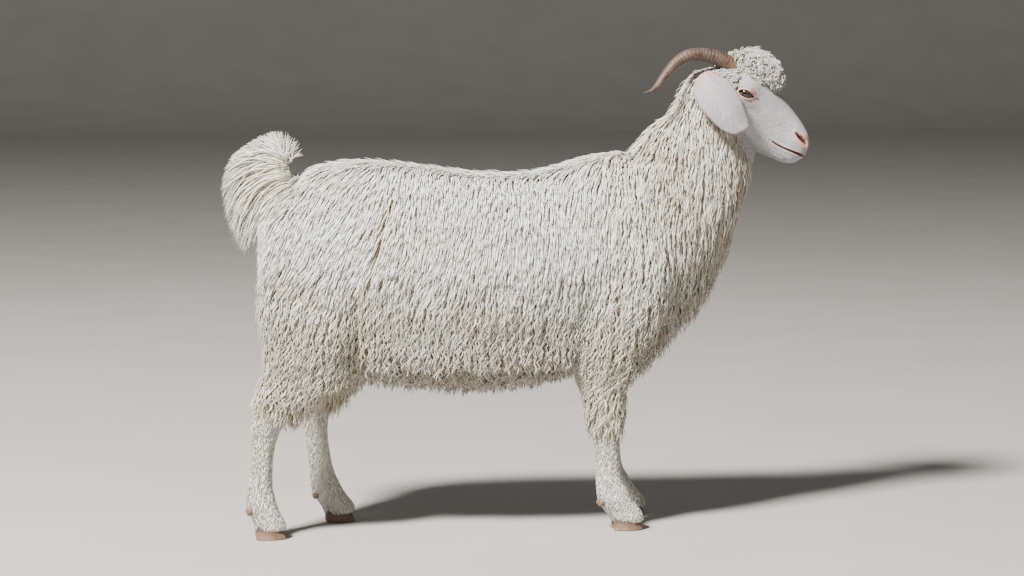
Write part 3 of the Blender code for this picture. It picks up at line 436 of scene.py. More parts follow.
def clawMaterial():
    made, tree, shader = newMaterial("clawKeratin", 0.52)
    data = attribute(tree, "horn")  # x from the hair down to the sole
    colour = ramp(tree, data[0], ((0.0, (0.075, 0.046, 0.031)), (0.12, (0.14, 0.088, 0.058)),
                                  (0.55, (0.21, 0.140, 0.093)), (1.0, (0.26, 0.178, 0.122))))
    colour = shaded(tree, colour, noiseOf(tree, 150.0, 6.0),
                    ((0.35, (0.70, 0.66, 0.62)), (0.65, (1.08, 1.06, 1.04))))
    link(tree, colour, shader.inputs["Base Color"])
    rings = maths(tree, "SINE", times(tree, data[0], 46.0))
    total = plus(tree, times(tree, rings, 0.5), noiseOf(tree, 500.0, 4.0))
    bump(tree, shader, total, 0.4, 0.0007)
    return made


def eyeMaterial():
    made, tree, shader = newMaterial("eyeWet", 0.06, {
        "Coat Weight": 0.35, "Coat Roughness": 0.02, "Specular IOR Level": 0.4})
    gaze = attribute(tree, "gaze")  # x level, y up, z out, in ball radii
    squares = [times(tree, gaze[i], gaze[i]) for i in (0, 1)]
    radius = maths(tree, "SQRT", plus(tree, *squares))
    iris = ramp(tree, radius, (
        (0.0, (0.030, 0.018, 0.010)), (0.26, (0.040, 0.025, 0.014)), (0.48, (0.026, 0.017, 0.011)),
        (0.60, (0.010, 0.007, 0.005)), (0.68, (0.045, 0.028, 0.020)), (0.82, (0.16, 0.11, 0.09))))
    angle = maths(tree, "ARCTAN2", gaze[1], gaze[0])
    spokes = maths(tree, "SINE", times(tree, angle, 46.0))
    streaks = times(tree, spokes, noiseOf(tree, 900.0, 3.0))
    streaks = plus(tree, times(tree, streaks, 0.5), 0.5)
    colour = shaded(tree, iris, streaks, ((0.2, 0.75), (0.8, (1.25, 1.22, 1.15))))
    # the pupil is a level slot with round ends
    halves = [maths(tree, "POWER", maths(tree, "ABSOLUTE", maths(tree, "DIVIDE", gaze[i], half)), 4.0)
              for i, half in ((0, 0.34), (1, 0.125))]
    slot = maths(tree, "LESS_THAN", plus(tree, *halves), 1.0)
    link(tree, mixColour(tree, slot, colour, (0.006, 0.006, 0.008)), shader.inputs["Base Color"])
    return made


hairTones = {  # tip, middle, root, fibres across a strand, depth of the grooves between them; the darker root is painted shade deep in the coat, and the grooves are painted darker as shade
    # the curly fleece low on the body is painted darker than the back's, as shade, and a little warmer, as
    # tan wool
    "mohairFleece": ((0.785, 0.752, 0.70), (0.73, 0.685, 0.62), (0.64, 0.575, 0.485), 4.0, 0.66),
    "mohairOnTheBack": ((0.92, 0.895, 0.86), (0.90, 0.87, 0.83), (0.87, 0.835, 0.785), 4.0, 0.84),
    "tailHair": ((0.86, 0.835, 0.78), (0.82, 0.785, 0.71), (0.66, 0.60, 0.48), 3.0, 0.50),
    "forelockCurls": ((0.67, 0.645, 0.61), (0.56, 0.53, 0.49), (0.48, 0.435, 0.385), 2.5, 0.50),
    "shortCoatHair": ((0.44, 0.435, 0.445), (0.42, 0.415, 0.425), (0.39, 0.38, 0.385), 2.0, 0.86),
    "earHair": ((0.36, 0.355, 0.38), (0.34, 0.335, 0.36), (0.32, 0.315, 0.34), 2.0, 0.86),
    "shankHair": ((0.78, 0.745, 0.70), (0.74, 0.70, 0.65), (0.66, 0.605, 0.54), 3.0, 0.70),
}
mohair, backHair, tailHair, curlHair, shortHair, earHair, shankHair = (
    mohairMaterial(name, *tones) for name, tones in hairTones.items())
skinFinish = skinMaterial("skinShortHair", paint["face"])
earFinish = skinMaterial("earShortHair", paint["ear"])
hornFinish = hornMaterial()
clawFinish = clawMaterial()
eyeFinish = eyeMaterial()
print("materials made")

# The body's flesh
flesh = {
    "torso": (  # x, top, bottom, half width
        (-0.412, 0.525, 0.430, 0.048), (-0.388, 0.566, 0.370, 0.082), (-0.340, 0.594, 0.318, 0.108),
        (-0.265, 0.606, 0.294, 0.121), (-0.175, 0.599, 0.276, 0.130), (-0.090, 0.587, 0.268, 0.134),
        (-0.010, 0.582, 0.274, 0.130), (0.060, 0.590, 0.288, 0.119), (0.125, 0.610, 0.304, 0.106),
        (0.180, 0.618, 0.318, 0.094), (0.240, 0.590, 0.352, 0.078), (0.284, 0.510, 0.400, 0.048)),
    "neck": (  # x, z, half depth, half width
        (0.155, 0.440, 0.112, 0.084), (0.224, 0.482, 0.104, 0.078), (0.290, 0.576, 0.092, 0.065),
        (0.338, 0.650, 0.080, 0.055), (0.350, 0.712, 0.062, 0.050)),
    "fore": (  # x, z, half length, half width
        (0.176, 0.535, 0.045, 0.018), (0.172, 0.485, 0.070, 0.033), (0.168, 0.430, 0.074, 0.040),
        (0.152, 0.345, 0.058, 0.038), (0.143, 0.290, 0.038, 0.030), (0.143, 0.240, 0.029, 0.025),
        (0.1445, 0.195, 0.0275, 0.0245), (0.146, 0.165, 0.023, 0.022), (0.149, 0.120, 0.020, 0.0175),
        (0.151, 0.082, 0.0215, 0.0185), (0.158, 0.058, 0.0255, 0.0225), (0.172, 0.036, 0.023, 0.0225),
        (0.183, 0.018, 0.0265, 0.0245), (0.184, 0.012, 0.0255, 0.0235)),
    "hind": (
        (-0.318, 0.560, 0.045, 0.018), (-0.322, 0.520, 0.070, 0.034), (-0.330, 0.470, 0.078, 0.044),
        (-0.344, 0.390, 0.076, 0.048), (-0.356, 0.320, 0.060, 0.042), (-0.384, 0.262, 0.040, 0.032),
        (-0.414, 0.218, 0.029, 0.024), (-0.428, 0.190, 0.0245, 0.0215), (-0.434, 0.150, 0.018, 0.0175),
        (-0.438, 0.095, 0.0185, 0.0175), (-0.438, 0.062, 0.0235, 0.0215), (-0.429, 0.038, 0.0220, 0.0225),
        (-0.422, 0.018, 0.0258, 0.0245), (-0.421, 0.012, 0.0248, 0.0235)),
    "dock": (  # x, z, half depth, half width
        (-0.372, 0.560, 0.019, 0.019), (-0.386, 0.584, 0.016, 0.016), (-0.393, 0.608, 0.013, 0.013),
        (-0.397, 0.626, 0.009, 0.010), (-0.399, 0.636, 0.004, 0.005)),
    "halfStance": {"fore": 0.070, "hind": 0.076},
    "footShift": {"foreRight": 0.0, "foreLeft": 0.030, "hindRight": 0.0, "hindLeft": 0.132},
    "shiftFade": 0.63,  # the height where a foot's shift has faded out
    "legInset": 0.045,  # how far a leg's top leans in under the trunk's side
    "sides": {"torso": 36, "neck": 28, "dock": 28, "leg": 24},  # points in a ring
    "voxel": 0.0042,
    "smoothing": 9,
    "mat": 0.0130,  # dense underwool, as deep as the core of the solids
}
fleeceEdge = {
    "neck": ((0.345, 0, 0.715), (0.846, 0, 0.533)),  # a plane behind the face: its place and its way
    "fore": 0.195,  # the height of the lower edge on the forelegs
    "hind": ((-0.455, -0.425, -0.385), (0.268, 0.250, 0.212)),  # x and height of the slanting lower edge
}


def legRows(leg):
    kind = leg[:4]
    side = -1 if leg.endswith("Right") else 1
    rows = []
    for x, z, length, width in flesh[kind]:
        inset = flesh["legInset"] * float(smoothStep(0.44, 0.58, z))
        rows.append((x + flesh["footShift"][leg] * (1 - z / flesh["shiftFade"]),
                     side * (flesh["halfStance"][kind] - inset), z, length, width))
    return rows


def bodyForms():
    forms = []
    torso, sides = smoothRows(flesh["torso"], 3), flesh["sides"]
    turn = ringAngles(sides["torso"])
    half = (torso[:, 1] - torso[:, 2]) / 2
    rings = np.stack([np.repeat(torso[:, 0:1], sides["torso"], 1),
                      torso[:, 3:4] * (1 - 0.10 * np.sin(turn)) * np.cos(turn),
                      (torso[:, 1] + torso[:, 2])[:, None] / 2 + half[:, None] * np.sin(turn)], -1)
    forms.append(ringMesh("torsoForm", rings + shift))
    for word in ("neck", "dock"):
        rows = [(x, 0, z, depth, width) for x, z, depth, width in smoothRows(flesh[word], 4)]
        forms.append(ringMesh(word, tubeRings(rows, sides[word]) + shift))
    for leg in flesh["footShift"]:
        forms.append(ringMesh(leg, tubeRings(smoothRows(legRows(leg), 4), sides["leg"]) + shift))
    return forms


def woolPlane(body):  # distance in front of the plane where the fleece of the neck ends
    spot, way = fleeceEdge["neck"]
    return (body - turned(np.array(spot))) @ (yawTurn @ unit(np.array(way)))


def fleeceHem(body):
    x, y, z = body.T
    shifted = flesh["footShift"]["hindLeft"] * (1 - z / flesh["shiftFade"])
    ahead = x - np.where((y > 0) & (x < 0), shifted, 0)
    return np.where(x > 0, fleeceEdge["fore"], np.interp(ahead, *fleeceEdge["hind"]))


def matDepth(body):  # the depth of the dense underwool, thinner towards its edges
    hem = smoothStep(0.005, 0.120, body[:, 2] - fleeceHem(body))
    nape = smoothStep(0.0, -0.10, woolPlane(body))
    dock = smoothStep(0.020, 0.055, np.hypot(body[:, 0] + 0.392, body[:, 2] - 0.600)) \
        * np.where((body[:, 0] < -0.375) & (body[:, 2] > 0.60), 0, 1)
    return flesh["mat"] * hem * nape * dock


def buildBody():
    body = joined("skin", bodyForms())
    blend = body.modifiers.new("blend", "REMESH")
    blend.mode = "VOXEL"
    blend.voxel_size = flesh["voxel"]
    relax = body.modifiers.new("relax", "SMOOTH")
    relax.factor = 0.5
    relax.iterations = flesh["smoothing"]
    baked(body)
    points = vertsOf(body)
    normals = np.empty(len(points) * 3, np.float32)
    body.data.vertices.foreach_get("normal", normals)
    points += normals.reshape(-1, 3) * matDepth(points - shift)[:, None]
    body.data.vertices.foreach_set("co", points.astype(np.float32).ravel())
    body.data.update()
    return body


# The head
head = {
    "rows": (  # along the face, top, bottom, half width
        (-0.128, 0.812, 0.768, 0.020), (-0.117, 0.829, 0.757, 0.038), (-0.098, 0.846, 0.750, 0.049),
        (-0.074, 0.866, 0.747, 0.055),
        (-0.045, 0.882, 0.750, 0.056), (-0.010, 0.874, 0.754, 0.048), (0.025, 0.861, 0.759, 0.038),
        (0.055, 0.849, 0.763, 0.031), (0.080, 0.838, 0.767, 0.028), (0.095, 0.828, 0.7745, 0.0235),
        (0.1025, 0.817, 0.785, 0.0155), (0.1055, 0.806, 0.795, 0.005)),
    "egg": 0.10,
    "columns": 232,
    "steps": 24,
    "mouth": ((0.030, 0.7905), (0.044, 0.7885), (0.052, 0.7872), (0.067, 0.7882), (0.085, 0.7912),
              (0.110, 0.7955)),
    "nostril": ((0.0710, 0.8210, 0.0013), (0.0775, 0.8188, 0.0026), (0.0845, 0.8172, 0.0034),
                (0.0915, 0.8154, 0.0032), (0.0965, 0.8124, 0.0017)),
    # soft forms on the side: face, crown, half length, half height, rise
    "blobs": (
        (-0.037, 0.8500, 0.017, 0.0085, 0.0026), (-0.030, 0.8200, 0.020, 0.0070, 0.0016),
        (-0.020, 0.8070, 0.040, 0.0060, 0.0014), (-0.002, 0.8210, 0.014, 0.0100, -0.0016),
        (-0.062, 0.7800, 0.030, 0.0220, 0.0018), (0.030, 0.8400, 0.030, 0.0085, -0.0012),
        (0.074, 0.8030, 0.024, 0.0090, 0.0018), (0.034, 0.8100, 0.026, 0.0100, -0.0008),
        (0.082, 0.7780, 0.017, 0.0060, 0.0012), (0.020, 0.7740, 0.030, 0.0080, -0.0010),
        (0.088, 0.8250, 0.010, 0.0060, 0.0012)),
}


def mouthCrown(face):
    return np.interp(face, *zip(*head["mouth"]))


def distanceTo(line, a, b):
    best = np.full(np.shape(a), 1e9)
    share = np.zeros(np.shape(a))
    for i, (p, q) in enumerate(zip(line, line[1:])):
        du, dv = q[0] - p[0], q[1] - p[1]
        t = np.clip(((a - p[0]) * du + (b - p[1]) * dv) / (du * du + dv * dv), 0, 1)
        gap = np.hypot(a - p[0] - du * t, b - p[1] - dv * t)
        nearer = gap < best
        best = np.where(nearer, gap, best)
        share = np.where(nearer, i + t, share)
    return best, share


def dab(a, b, middle, size):  # a soft round patch
    return np.exp(-(((a - middle[0]) / size[0]) ** 2) - (((b - middle[1]) / size[1]) ** 2))


def nostrilGap(face, crown):  # distance outside the nostril's edge
    line, halves = [row[:2] for row in head["nostril"]], [row[2] for row in head["nostril"]]
    near, share = distanceTo(line, face, crown)
    return near - np.interp(share, np.arange(len(halves)), halves)


eyeCut = {
    "tilt": math.radians(8),
    "radius": 0.0130,
    # the opening in the eye's own plane: along the slit towards the nose, and up
    "outline": ((-0.0120, -0.0004), (-0.0088, 0.0030), (-0.0034, 0.0050), (0.0026, 0.0049),
                (0.0074, 0.0030), (0.0112, 0.0010), (0.0150, -0.0004), (0.0108, -0.0021),
                (0.0062, -0.0042), (0.0004, -0.0053), (-0.0056, -0.0045), (-0.0098, -0.0024)),
    "tearLine": ((0.0125, -0.0002), (0.0180, -0.0008), (0.0245, -0.0002)),
    "turns": 96,  # points round the opening
    "ballRings": 48, "ballSides": 56, "clearSwell": 0.045,
}


def eyePlane(face, crown):
    df, dc = face - pose["eyeFace"], crown - pose["eyeCrown"]
    c, s = math.cos(eyeCut["tilt"]), math.sin(eyeCut["tilt"])
    return df * c + dc * s, dc * c - df * s


def fromEyePlane(u, v):
    c, s = math.cos(eyeCut["tilt"]), math.sin(eyeCut["tilt"])
    return pose["eyeFace"] + u * c - v * s, pose["eyeCrown"] + u * s + v * c


def headGrid():  # rings along the face, with their points closer together at the lips
    rows = smoothRows(head["rows"], head["steps"])
    face, top, bottom, half = rows.T
    middle, depth = (top + bottom) / 2, np.maximum((top - bottom) / 2, 0.0005)
    half = np.maximum(half, 0.0005)
    fine = np.linspace(math.pi / 2, math.pi / 2 + 2 * math.pi, 1441)
    turns = np.empty((len(rows), head["columns"]))
    for i in range(len(rows)):
        lip = math.asin(float(np.clip((mouthCrown(face[i]) - middle[i]) / depth[i], -0.98, 0.98)))
        weight = np.ones(len(fine))
        if face[i] > 0.02:
            strength = 2.4 * float(smoothStep(0.02, 0.045, face[i]))
            for spot in (math.pi - lip, 2 * math.pi + lip):
                weight += strength * hump(fine, spot, 0.13)
        total = np.concatenate([[0], np.cumsum((weight[1:] + weight[:-1]) / 2)])
        turns[i] = np.interp(np.arange(head["columns"]) / head["columns"] * total[-1], total, fine)
    across = half[:, None] * (1 + head["egg"] * np.sin(turns)) * np.cos(turns)
    crown = middle[:, None] + depth[:, None] * np.sin(turns)
    return np.stack([np.repeat(face[:, None], head["columns"], 1), across, crown], -1)


def gridNormals(grid):
    along = np.gradient(grid, axis=0)
    around = np.roll(grid, -1, axis=1) - np.roll(grid, 1, axis=1)
    normals = unit(np.cross(around, along))
    outward = grid - grid.mean(axis=1, keepdims=True)
    flip = np.sign(np.einsum("ijk,ijk->ij", normals, outward).mean())
    return normals * flip


def bulge(face, crown, across):
    side = smoothStep(0.003, 0.014, np.abs(across))
    rise = np.zeros(np.shape(face))
    for f, c, lengthwise, upwards, height in head["blobs"]:
        rise += height * side * dab(face, crown, (f, c), (lengthwise, upwards))
    u, v = eyePlane(face, crown)
    rise += 0.0032 * side * dab(u, v, (0.002, 0.0), (0.023, 0.016))
    # skin folds below and before the eye, and behind the mouth's corner
    fold = np.sin((v + 0.25 * u) * 2 * math.pi / 0.0052) * dab(u, v, (0.001, -0.0150), (0.015, 0.0055))
    rise += 0.00045 * side * fold
    ripple = np.sin((face * 0.35 + crown) * 2 * math.pi / 0.0090)
    rise += 0.0007 * side * ripple * dab(face, crown, (0.015, 0.800), (0.030, 0.018))
    corner = np.sin((face + 0.2 * crown) * 2 * math.pi / 0.0062)
    rise += 0.0003 * side * corner * dab(face, crown, (0.037, 0.787), (0.009, 0.010))
    # lips and the line between them
    gap = crown - mouthCrown(face)
    along = smoothStep(0.040, 0.050, face)
    rise += along * (0.0012 * hump(gap, 0.0036, 0.0024) + 0.0010 * hump(gap, -0.0036, 0.0026))
    rise -= 0.0030 * smoothStep(0.0415, 0.047, face) * hump(gap, 0, 0.0011)
    # the groove in the upper lip, and the nostrils with their raised wings
    front = smoothStep(0.090, 0.099, face) * smoothStep(0.789, 0.796, crown)
    rise -= 0.0016 * front * hump(across, 0, 0.0011)
    rim = nostrilGap(face, crown)
    rise += side * (0.0016 * hump(rim, 0.0020, 0.0022) - 0.0075 * smoothStep(0.0006, -0.0012, rim))
    return rise


def outlineLoop():
    points = np.array(eyeCut["outline"])
    closedRows = np.vstack([points[-2:], points, points[:3]])
    dense = smoothRows(closedRows, 40)[80:80 + 40 * len(points)]
    steps = np.linalg.norm(np.diff(np.vstack([dense, dense[:1]]), axis=0), axis=1)
    travel = np.concatenate([[0], np.cumsum(steps)])
    wanted = np.arange(eyeCut["turns"]) / eyeCut["turns"] * travel[-1]
    loop = np.vstack([dense, dense[:1]])
    return np.stack([np.interp(wanted, travel, loop[:, i]) for i in (0, 1)], -1)


def eyeLoop():
    outline = outlineLoop()
    return [tuple(p) for p in np.vstack([outline[::3], outline[:1]])]


def lidRings(skinTree):  # rings from under the lids' rim outwards into the skin
    outline = outlineLoop()
    centre = np.array([0.0, -0.0002])
    tangent = np.roll(outline, -1, 0) - np.roll(outline, 1, 0)
    outward = unit(np.stack([tangent[:, 1], -tangent[:, 0]], -1))
    if (outward * (outline - centre)).sum() < 0:
        outward = -outward
    radial = unit(outline - centre)
    upper = smoothStep(-0.25, 0.35, radial[:, 1])
    radius = eyeCut["radius"]

    def skinHeight(flat):
        made = np.empty(len(flat))
        for i, (u, v) in enumerate(flat):
            face, crown = fromEyePlane(u, v)
            hit = skinTree.ray_cast(Vector((face, 0.12, crown)), Vector((0, -1, 0)))[0]
            made[i] = hit[1] - pose["eyeSide"] if hit else 0.0
        return made

    def ballHeight(flat):
        return np.sqrt(np.maximum(radius**2 - (flat**2).sum(1), 0.0))

    def placed(distance):
        mix = smoothStep(0.0, 0.010, distance)
        way = unit(outward * (1 - mix) + radial * mix)
        return outline + way * distance

    rim = np.maximum(ballHeight(outline) + 0.0002, skinHeight(outline) - 0.0010)
    rings = []
    distances = (-0.0010, 0.0, 0.0004, 0.0010, 0.0018, 0.0028, 0.0038, 0.0047, 0.0056, 0.0066, 0.0078,
                 0.0092, 0.0108, 0.0125, 0.0145)
    lift = rim + 0.0016 - skinHeight(placed(0.0010))
    for d in distances:
        flat = placed(d)
        if d < 0:
            height = np.minimum(ballHeight(flat) - 0.0006, rim - 0.0012)
        elif d < 0.0009:
            height = rim + 0.0003 + 0.0010 * math.sin(d / 0.0009 * math.pi / 2)
        else:
            fade = float(1 - smoothStep(0.0010, 0.0135, d))
            height = skinHeight(flat) + lift * fade - 0.0007 * (1 - fade)
            crease = 0.0009 * hump(d, 0.0068, 0.0016) - 0.0012 * hump(d, 0.0047, 0.0011)
            puff = 0.0009 * hump(d, 0.0030, 0.0015) - 0.0008 * hump(d, 0.0062, 0.0010)
            height = height + crease * upper + puff * (1 - upper)
            near, _ = distanceTo(eyeCut["tearLine"], flat[:, 0], flat[:, 1])
            height -= 0.0013 * hump(near, 0, 0.0010) * (flat[:, 0] > 0.0135)
        rings.append((flat, height))
    for d, depth in ((0.0100, 0.0050), (0.0040, 0.0080)):
        flat = placed(d)
        rings.append((flat, np.minimum(skinHeight(flat), rim) - depth))
    made = []
    for flat, height in rings:
        face, crown = fromEyePlane(flat[:, 0], flat[:, 1])
        made.append(np.stack([face, pose["eyeSide"] + height, crown], -1))
    return np.array(made)


def loopMesh(name, rings):
    count, sides = rings.shape[:2]
    r, k = np.meshgrid(np.arange(count), np.arange(sides), indexing="ij")
    n, m = (k + 1) % sides, (r + 1) % count
    quads = np.stack([r * sides + k, r * sides + n, m * sides + n, m * sides + k], -1).reshape(-1, 4)
    verts = rings.reshape(-1, 3)
    if signedVolume(verts, quads, np.zeros((0, 3), int)) < 0:
        quads = quads[:, ::-1]
    return makeMesh(name, verts, quads)


def buildHead():
    grid = headGrid()
    normals = gridNormals(grid)
    rise = bulge(grid[..., 0], grid[..., 2], grid[..., 1])
    shaped = grid + normals * rise[..., None]
    polygons, caps = ringFaces(*grid.shape[:2])
    points = np.vstack([shaped.reshape(-1, 3), shaped[0].mean(0), shaped[-1].mean(0)])
    tree = BVHTree.FromPolygons(points.tolist(), polygons.tolist() + caps.tolist())
    lid = lidRings(tree)
    u, v = eyePlane(shaped[..., 0], shaped[..., 2])
    reach = np.sqrt(((u - 0.001) / 0.0175) ** 2 + ((v + 0.0002) / 0.0095) ** 2)
    hollow = smoothStep(1.15, 0.70, reach) * smoothStep(0.010, 0.030, np.abs(shaped[..., 1]))
    shaped = shaped - normals * (0.0095 * hollow)[..., None]
    world = headToWorld(shaped[..., 0], shaped[..., 1], shaped[..., 2])
    made = ringMesh("headForm", world)
    lids = []
    for side in (1, -1):
        lids.append(loopMesh("lids", headToWorld(lid[..., 0], side * lid[..., 1], lid[..., 2])))
    return made, lids


skin = buildBody()
print("body made", len(skin.data.polygons))
headForm, lidForms = buildHead()
unite(skin, [headForm] + lidForms)
skin.name = "skin"
print("skin joined", len(skin.data.polygons))

# Markings and painted shade
marks = {
    "crease": ((-0.2122, 0.5837), (-0.2353, 0.5111), (-0.258, 0.4383), (-0.2693, 0.3722)),
    "spots": ((0.207, 0.5815, 0.006), (0.2309, 0.5612, 0.010), (0.2583, 0.5341, 0.008)),
    "tailCrease": ((-0.3788, 0.5867), (-0.4146, 0.5626), (-0.4364, 0.5328), (-0.445, 0.5045)),
    # patches round the eye: strength, middle and size in the eye's own plane; the dark ones are the dark
    # inner corner, then painted shade under the brow above the lids and painted shade in the fold below the
    # eye
    "darkAndShadeByEye": ((1.0, (0.0125, 0.0005), (0.0035, 0.0028)), (0.42, (0.011, 0.006), (0.008, 0.0045)),
                  (0.20, (0.003, -0.0175), (0.013, 0.005))),
    "pinkByEye": ((0.85, (0.010, 0.0075), (0.0095, 0.0062)), (0.45, (0.004, -0.0095), (0.014, 0.005))),
}


def marksAndShadeAt(points):  # how pink, dark and stained each point is; the dark also holds painted shade by the eye, between the lips and in the nostrils
    face, across, crown = worldToHead(points)
    side = np.abs(across)
    x, y, z = (points - shift).T
    isHead = smoothStep(-0.13, -0.10, face) * (z > 0.55)
    u, v = eyePlane(face, crown)
    nearEye = isHead * (side > 0.030)
    picked = (np.abs(u) < 0.045) & (np.abs(v) < 0.035) & (nearEye > 0)
    rim, tear = np.ones(face.shape), np.ones(face.shape)
    if picked.any():
        rim[picked] = distanceTo(eyeLoop(), u[picked], v[picked])[0]
        tear[picked] = distanceTo(eyeCut["tearLine"], u[picked], v[picked])[0]
    dark = np.maximum(smoothStep(0.0021, 0.0009, rim), smoothStep(0.0019, 0.0008, tear))
    # the dark inner corner, and painted shade above and below the eye
    for strength, middle, size in marks["darkAndShadeByEye"]:
        dark = np.maximum(dark, strength * dab(u, v, middle, size))
    pink = 0.80 * smoothStep(0.0060, 0.0018, rim)
    for strength, middle, size in marks["pinkByEye"]:
        pink = np.maximum(pink, strength * dab(u, v, middle, size))
    dark, pink = dark * nearEye, pink * nearEye
    # the lips, redder towards the front, with painted shade along the line between them, and the nostrils,
    # with painted shade inside them
    gap = np.abs(crown - mouthCrown(face))
    onMouth = isHead * smoothStep(0.0405, 0.046, face)
    front = smoothStep(0.060, 0.098, face)
    thick = 0.0014 + 0.0011 * front
    # painted shade in the line between the lips
    dark = np.maximum(dark, onMouth * smoothStep(thick + 0.0005, thick - 0.0005, gap) * 0.95)
    pink = np.maximum(pink, onMouth * smoothStep(0.0040 + 0.0025 * front, 0.0012, gap) * (0.45 + 0.5 * front))
    rim = nostrilGap(face, crown)
    # painted shade inside the nostrils
    dark = np.maximum(dark, isHead * smoothStep(0.0004, -0.0006, rim) * (side > 0.004))
    nose = isHead * smoothStep(0.0085, 0.0020, rim) * smoothStep(0.800, 0.806, crown)
    pink = np.maximum(pink, 0.95 * nose * smoothStep(0.064, 0.080, face))
    # the fleece: a parting on the flank, stains low down, at the shoulder and along the tail
    line, _ = distanceTo(marks["crease"], x, z)
    stain = np.maximum(0.14 * smoothStep(0.40, 0.24, z) * smoothStep(0.17, 0.21, z),
                       0.55 * smoothStep(0.0045, 0.0015, line) * (y < -0.05))
    for spotX, spotZ, size in marks["spots"]:
        away = np.hypot(x - spotX, z - spotZ)
        stain = np.maximum(stain, 0.7 * smoothStep(size * 1.4, size * 0.4, away) * (y < -0.03))
    line, _ = distanceTo(marks["tailCrease"], x, z)
    stain = np.maximum(stain, 0.6 * smoothStep(0.016, 0.003, line) * (x < -0.36))
    return np.stack([pink, dark, stain], -1)


def finishSkin():
    points = vertsOf(skin)
    body = points - shift
    ahead, hem = woolPlane(body), fleeceHem(body)
    wool = smoothStep(0.004, -0.008, ahead) * (0.55 + 0.45 * smoothStep(hem - 0.02, hem + 0.01, body[:, 2]))
    values = marksAndShadeAt(points)
    wet = np.clip(values[:, 0] * 0.4 + values[:, 1], 0, 1)
    areas = np.stack([wool, smoothStep(-0.01, 0.01, ahead), wet], -1)
    addVectors(skin.data, {"marks": values, "areas": areas})
    skin.data.materials.clear()
    skin.data.materials.append(skinFinish)
    skin.data.polygons.foreach_set("material_index", np.zeros(len(skin.data.polygons), np.int32))
    skin.data.shade_smooth()


finishSkin()
feet = ("fore_left", "fore_right", "hind_left", "hind_right")
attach(skin, "root")
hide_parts("head", "neck", "torso", *("leg_" + f for f in feet), *("shank_" + f for f in feet))
print("skin finished")

# Strands of hair
skinTree = treeOf(skin)


def nearestOn(tree, points):
    near, out = np.empty_like(points), np.empty_like(points)
    for i, p in enumerate(points.tolist()):
        near[i], out[i] = tree.find_nearest(p)[:2]
    return near, out


def alongSkin(way, normals):
    return unit(way - normals * np.einsum("ij,ij->i", way, normals)[:, None])


def cellsOf(points, size):  # the cube that each point lies in, and one number for it
    cells = np.floor(points / size).astype(np.int64)
    return cells, (cells[:, 0] * 73856093) ^ (cells[:, 1] * 19349663) ^ (cells[:, 2] * 83492791)


def meshTriangles(item):
    mesh = item.data
    mesh.calc_loop_triangles()
    index = np.empty(len(mesh.loop_triangles) * 3, np.int32)
    mesh.loop_triangles.foreach_get("vertices", index)
    return vertsOf(item)[index.reshape(-1, 3)]


# Roots lie evenly: one near the middle of each small cube that the wanted skin passes through.
def scatter(corners, wanted, cell, seed, jitter=0.25, tries=40):
    draw = np.random.default_rng(seed)
    cross = np.cross(corners[:, 1] - corners[:, 0], corners[:, 2] - corners[:, 0])
    area = np.linalg.norm(cross, axis=1) / 2
    normals = unit(cross)
    keep = wanted(corners.mean(1), normals) & (area > 1e-10)
    corners, area, normals = corners[keep], area[keep], normals[keep]
    count = int(area.sum() / cell**2 * tries)
    picks = draw.choice(len(area), count, p=area / area.sum())
    a, b = draw.random((2, count))
    a, b = np.where(a + b > 1, 1 - a, a), np.where(a + b > 1, 1 - b, b)
    spots = corners[picks, 0] + (corners[picks, 1] - corners[picks, 0]) * a[:, None] \
        + (corners[picks, 2] - corners[picks, 0]) * b[:, None]
    cells, key = cellsOf(spots, cell)
    middle = np.linalg.norm(spots / cell - cells - 0.5, axis=1) + draw.uniform(0, jitter, count)
    order = np.lexsort((middle, key))
    first = np.sort(order[np.unique(key[order], return_index=True)[1]])
    return spots[first], normals[picks[first]]


def sown(source, wanted, kind, jitter=0.25):
    roots, normals = scatter(meshTriangles(source), wanted, kind["cell"], kind["seed"], jitter)
    return roots, normals, np.random.default_rng(kind["seed"] + 1), len(roots)


def fleeceLie(points, normals):  # the way the coat lies along the skin
    x, y, z = (points - shift).T
    up = np.maximum(normals[:, 2], 0)
    spine = smoothStep(0.50, 0.90, normals[:, 2]) * smoothStep(0.050, 0.010, np.abs(y))
    back = np.interp(x, (-0.42, -0.30, -0.18, -0.05, 0.25), (-0.42, -0.50, -0.30, -0.14, -0.12))
    back = -0.12 + (back + 0.12) * smoothStep(0.34, 0.46, z)
    back = back - 0.35 * smoothStep(0.36, 0.26, z) * (x > 0.05) * (normals[:, 0] < -0.3)
    ridge = y + 0.005 * softNoise(points, 9.0, 44)
    aside = 0.60 * up * np.sign(ridge) * np.clip((np.abs(ridge) - 0.003) / 0.024, 0, 1)
    way = np.stack([back - 0.65 * spine, aside, -np.ones(len(up))], -1)
    # the hair falls away to both sides of the parting on the flank
    gap, _ = distanceTo(marks["crease"], x, z)
    lineX, lineZ = zip(*marks["crease"][::-1])
    push = 0.10 * hump(gap, 0, 0.009) * (y < -0.05)
    way[:, 0] += push * np.sign(x - np.interp(z, lineZ, lineX))
    way = alongSkin(way, normals)
    stray = 0.16 * softNoise(points, 5.0, 17) + 0.12 * softNoise(points, 22.0, 18)
    return unit(way + np.cross(normals, way) * stray[:, None])


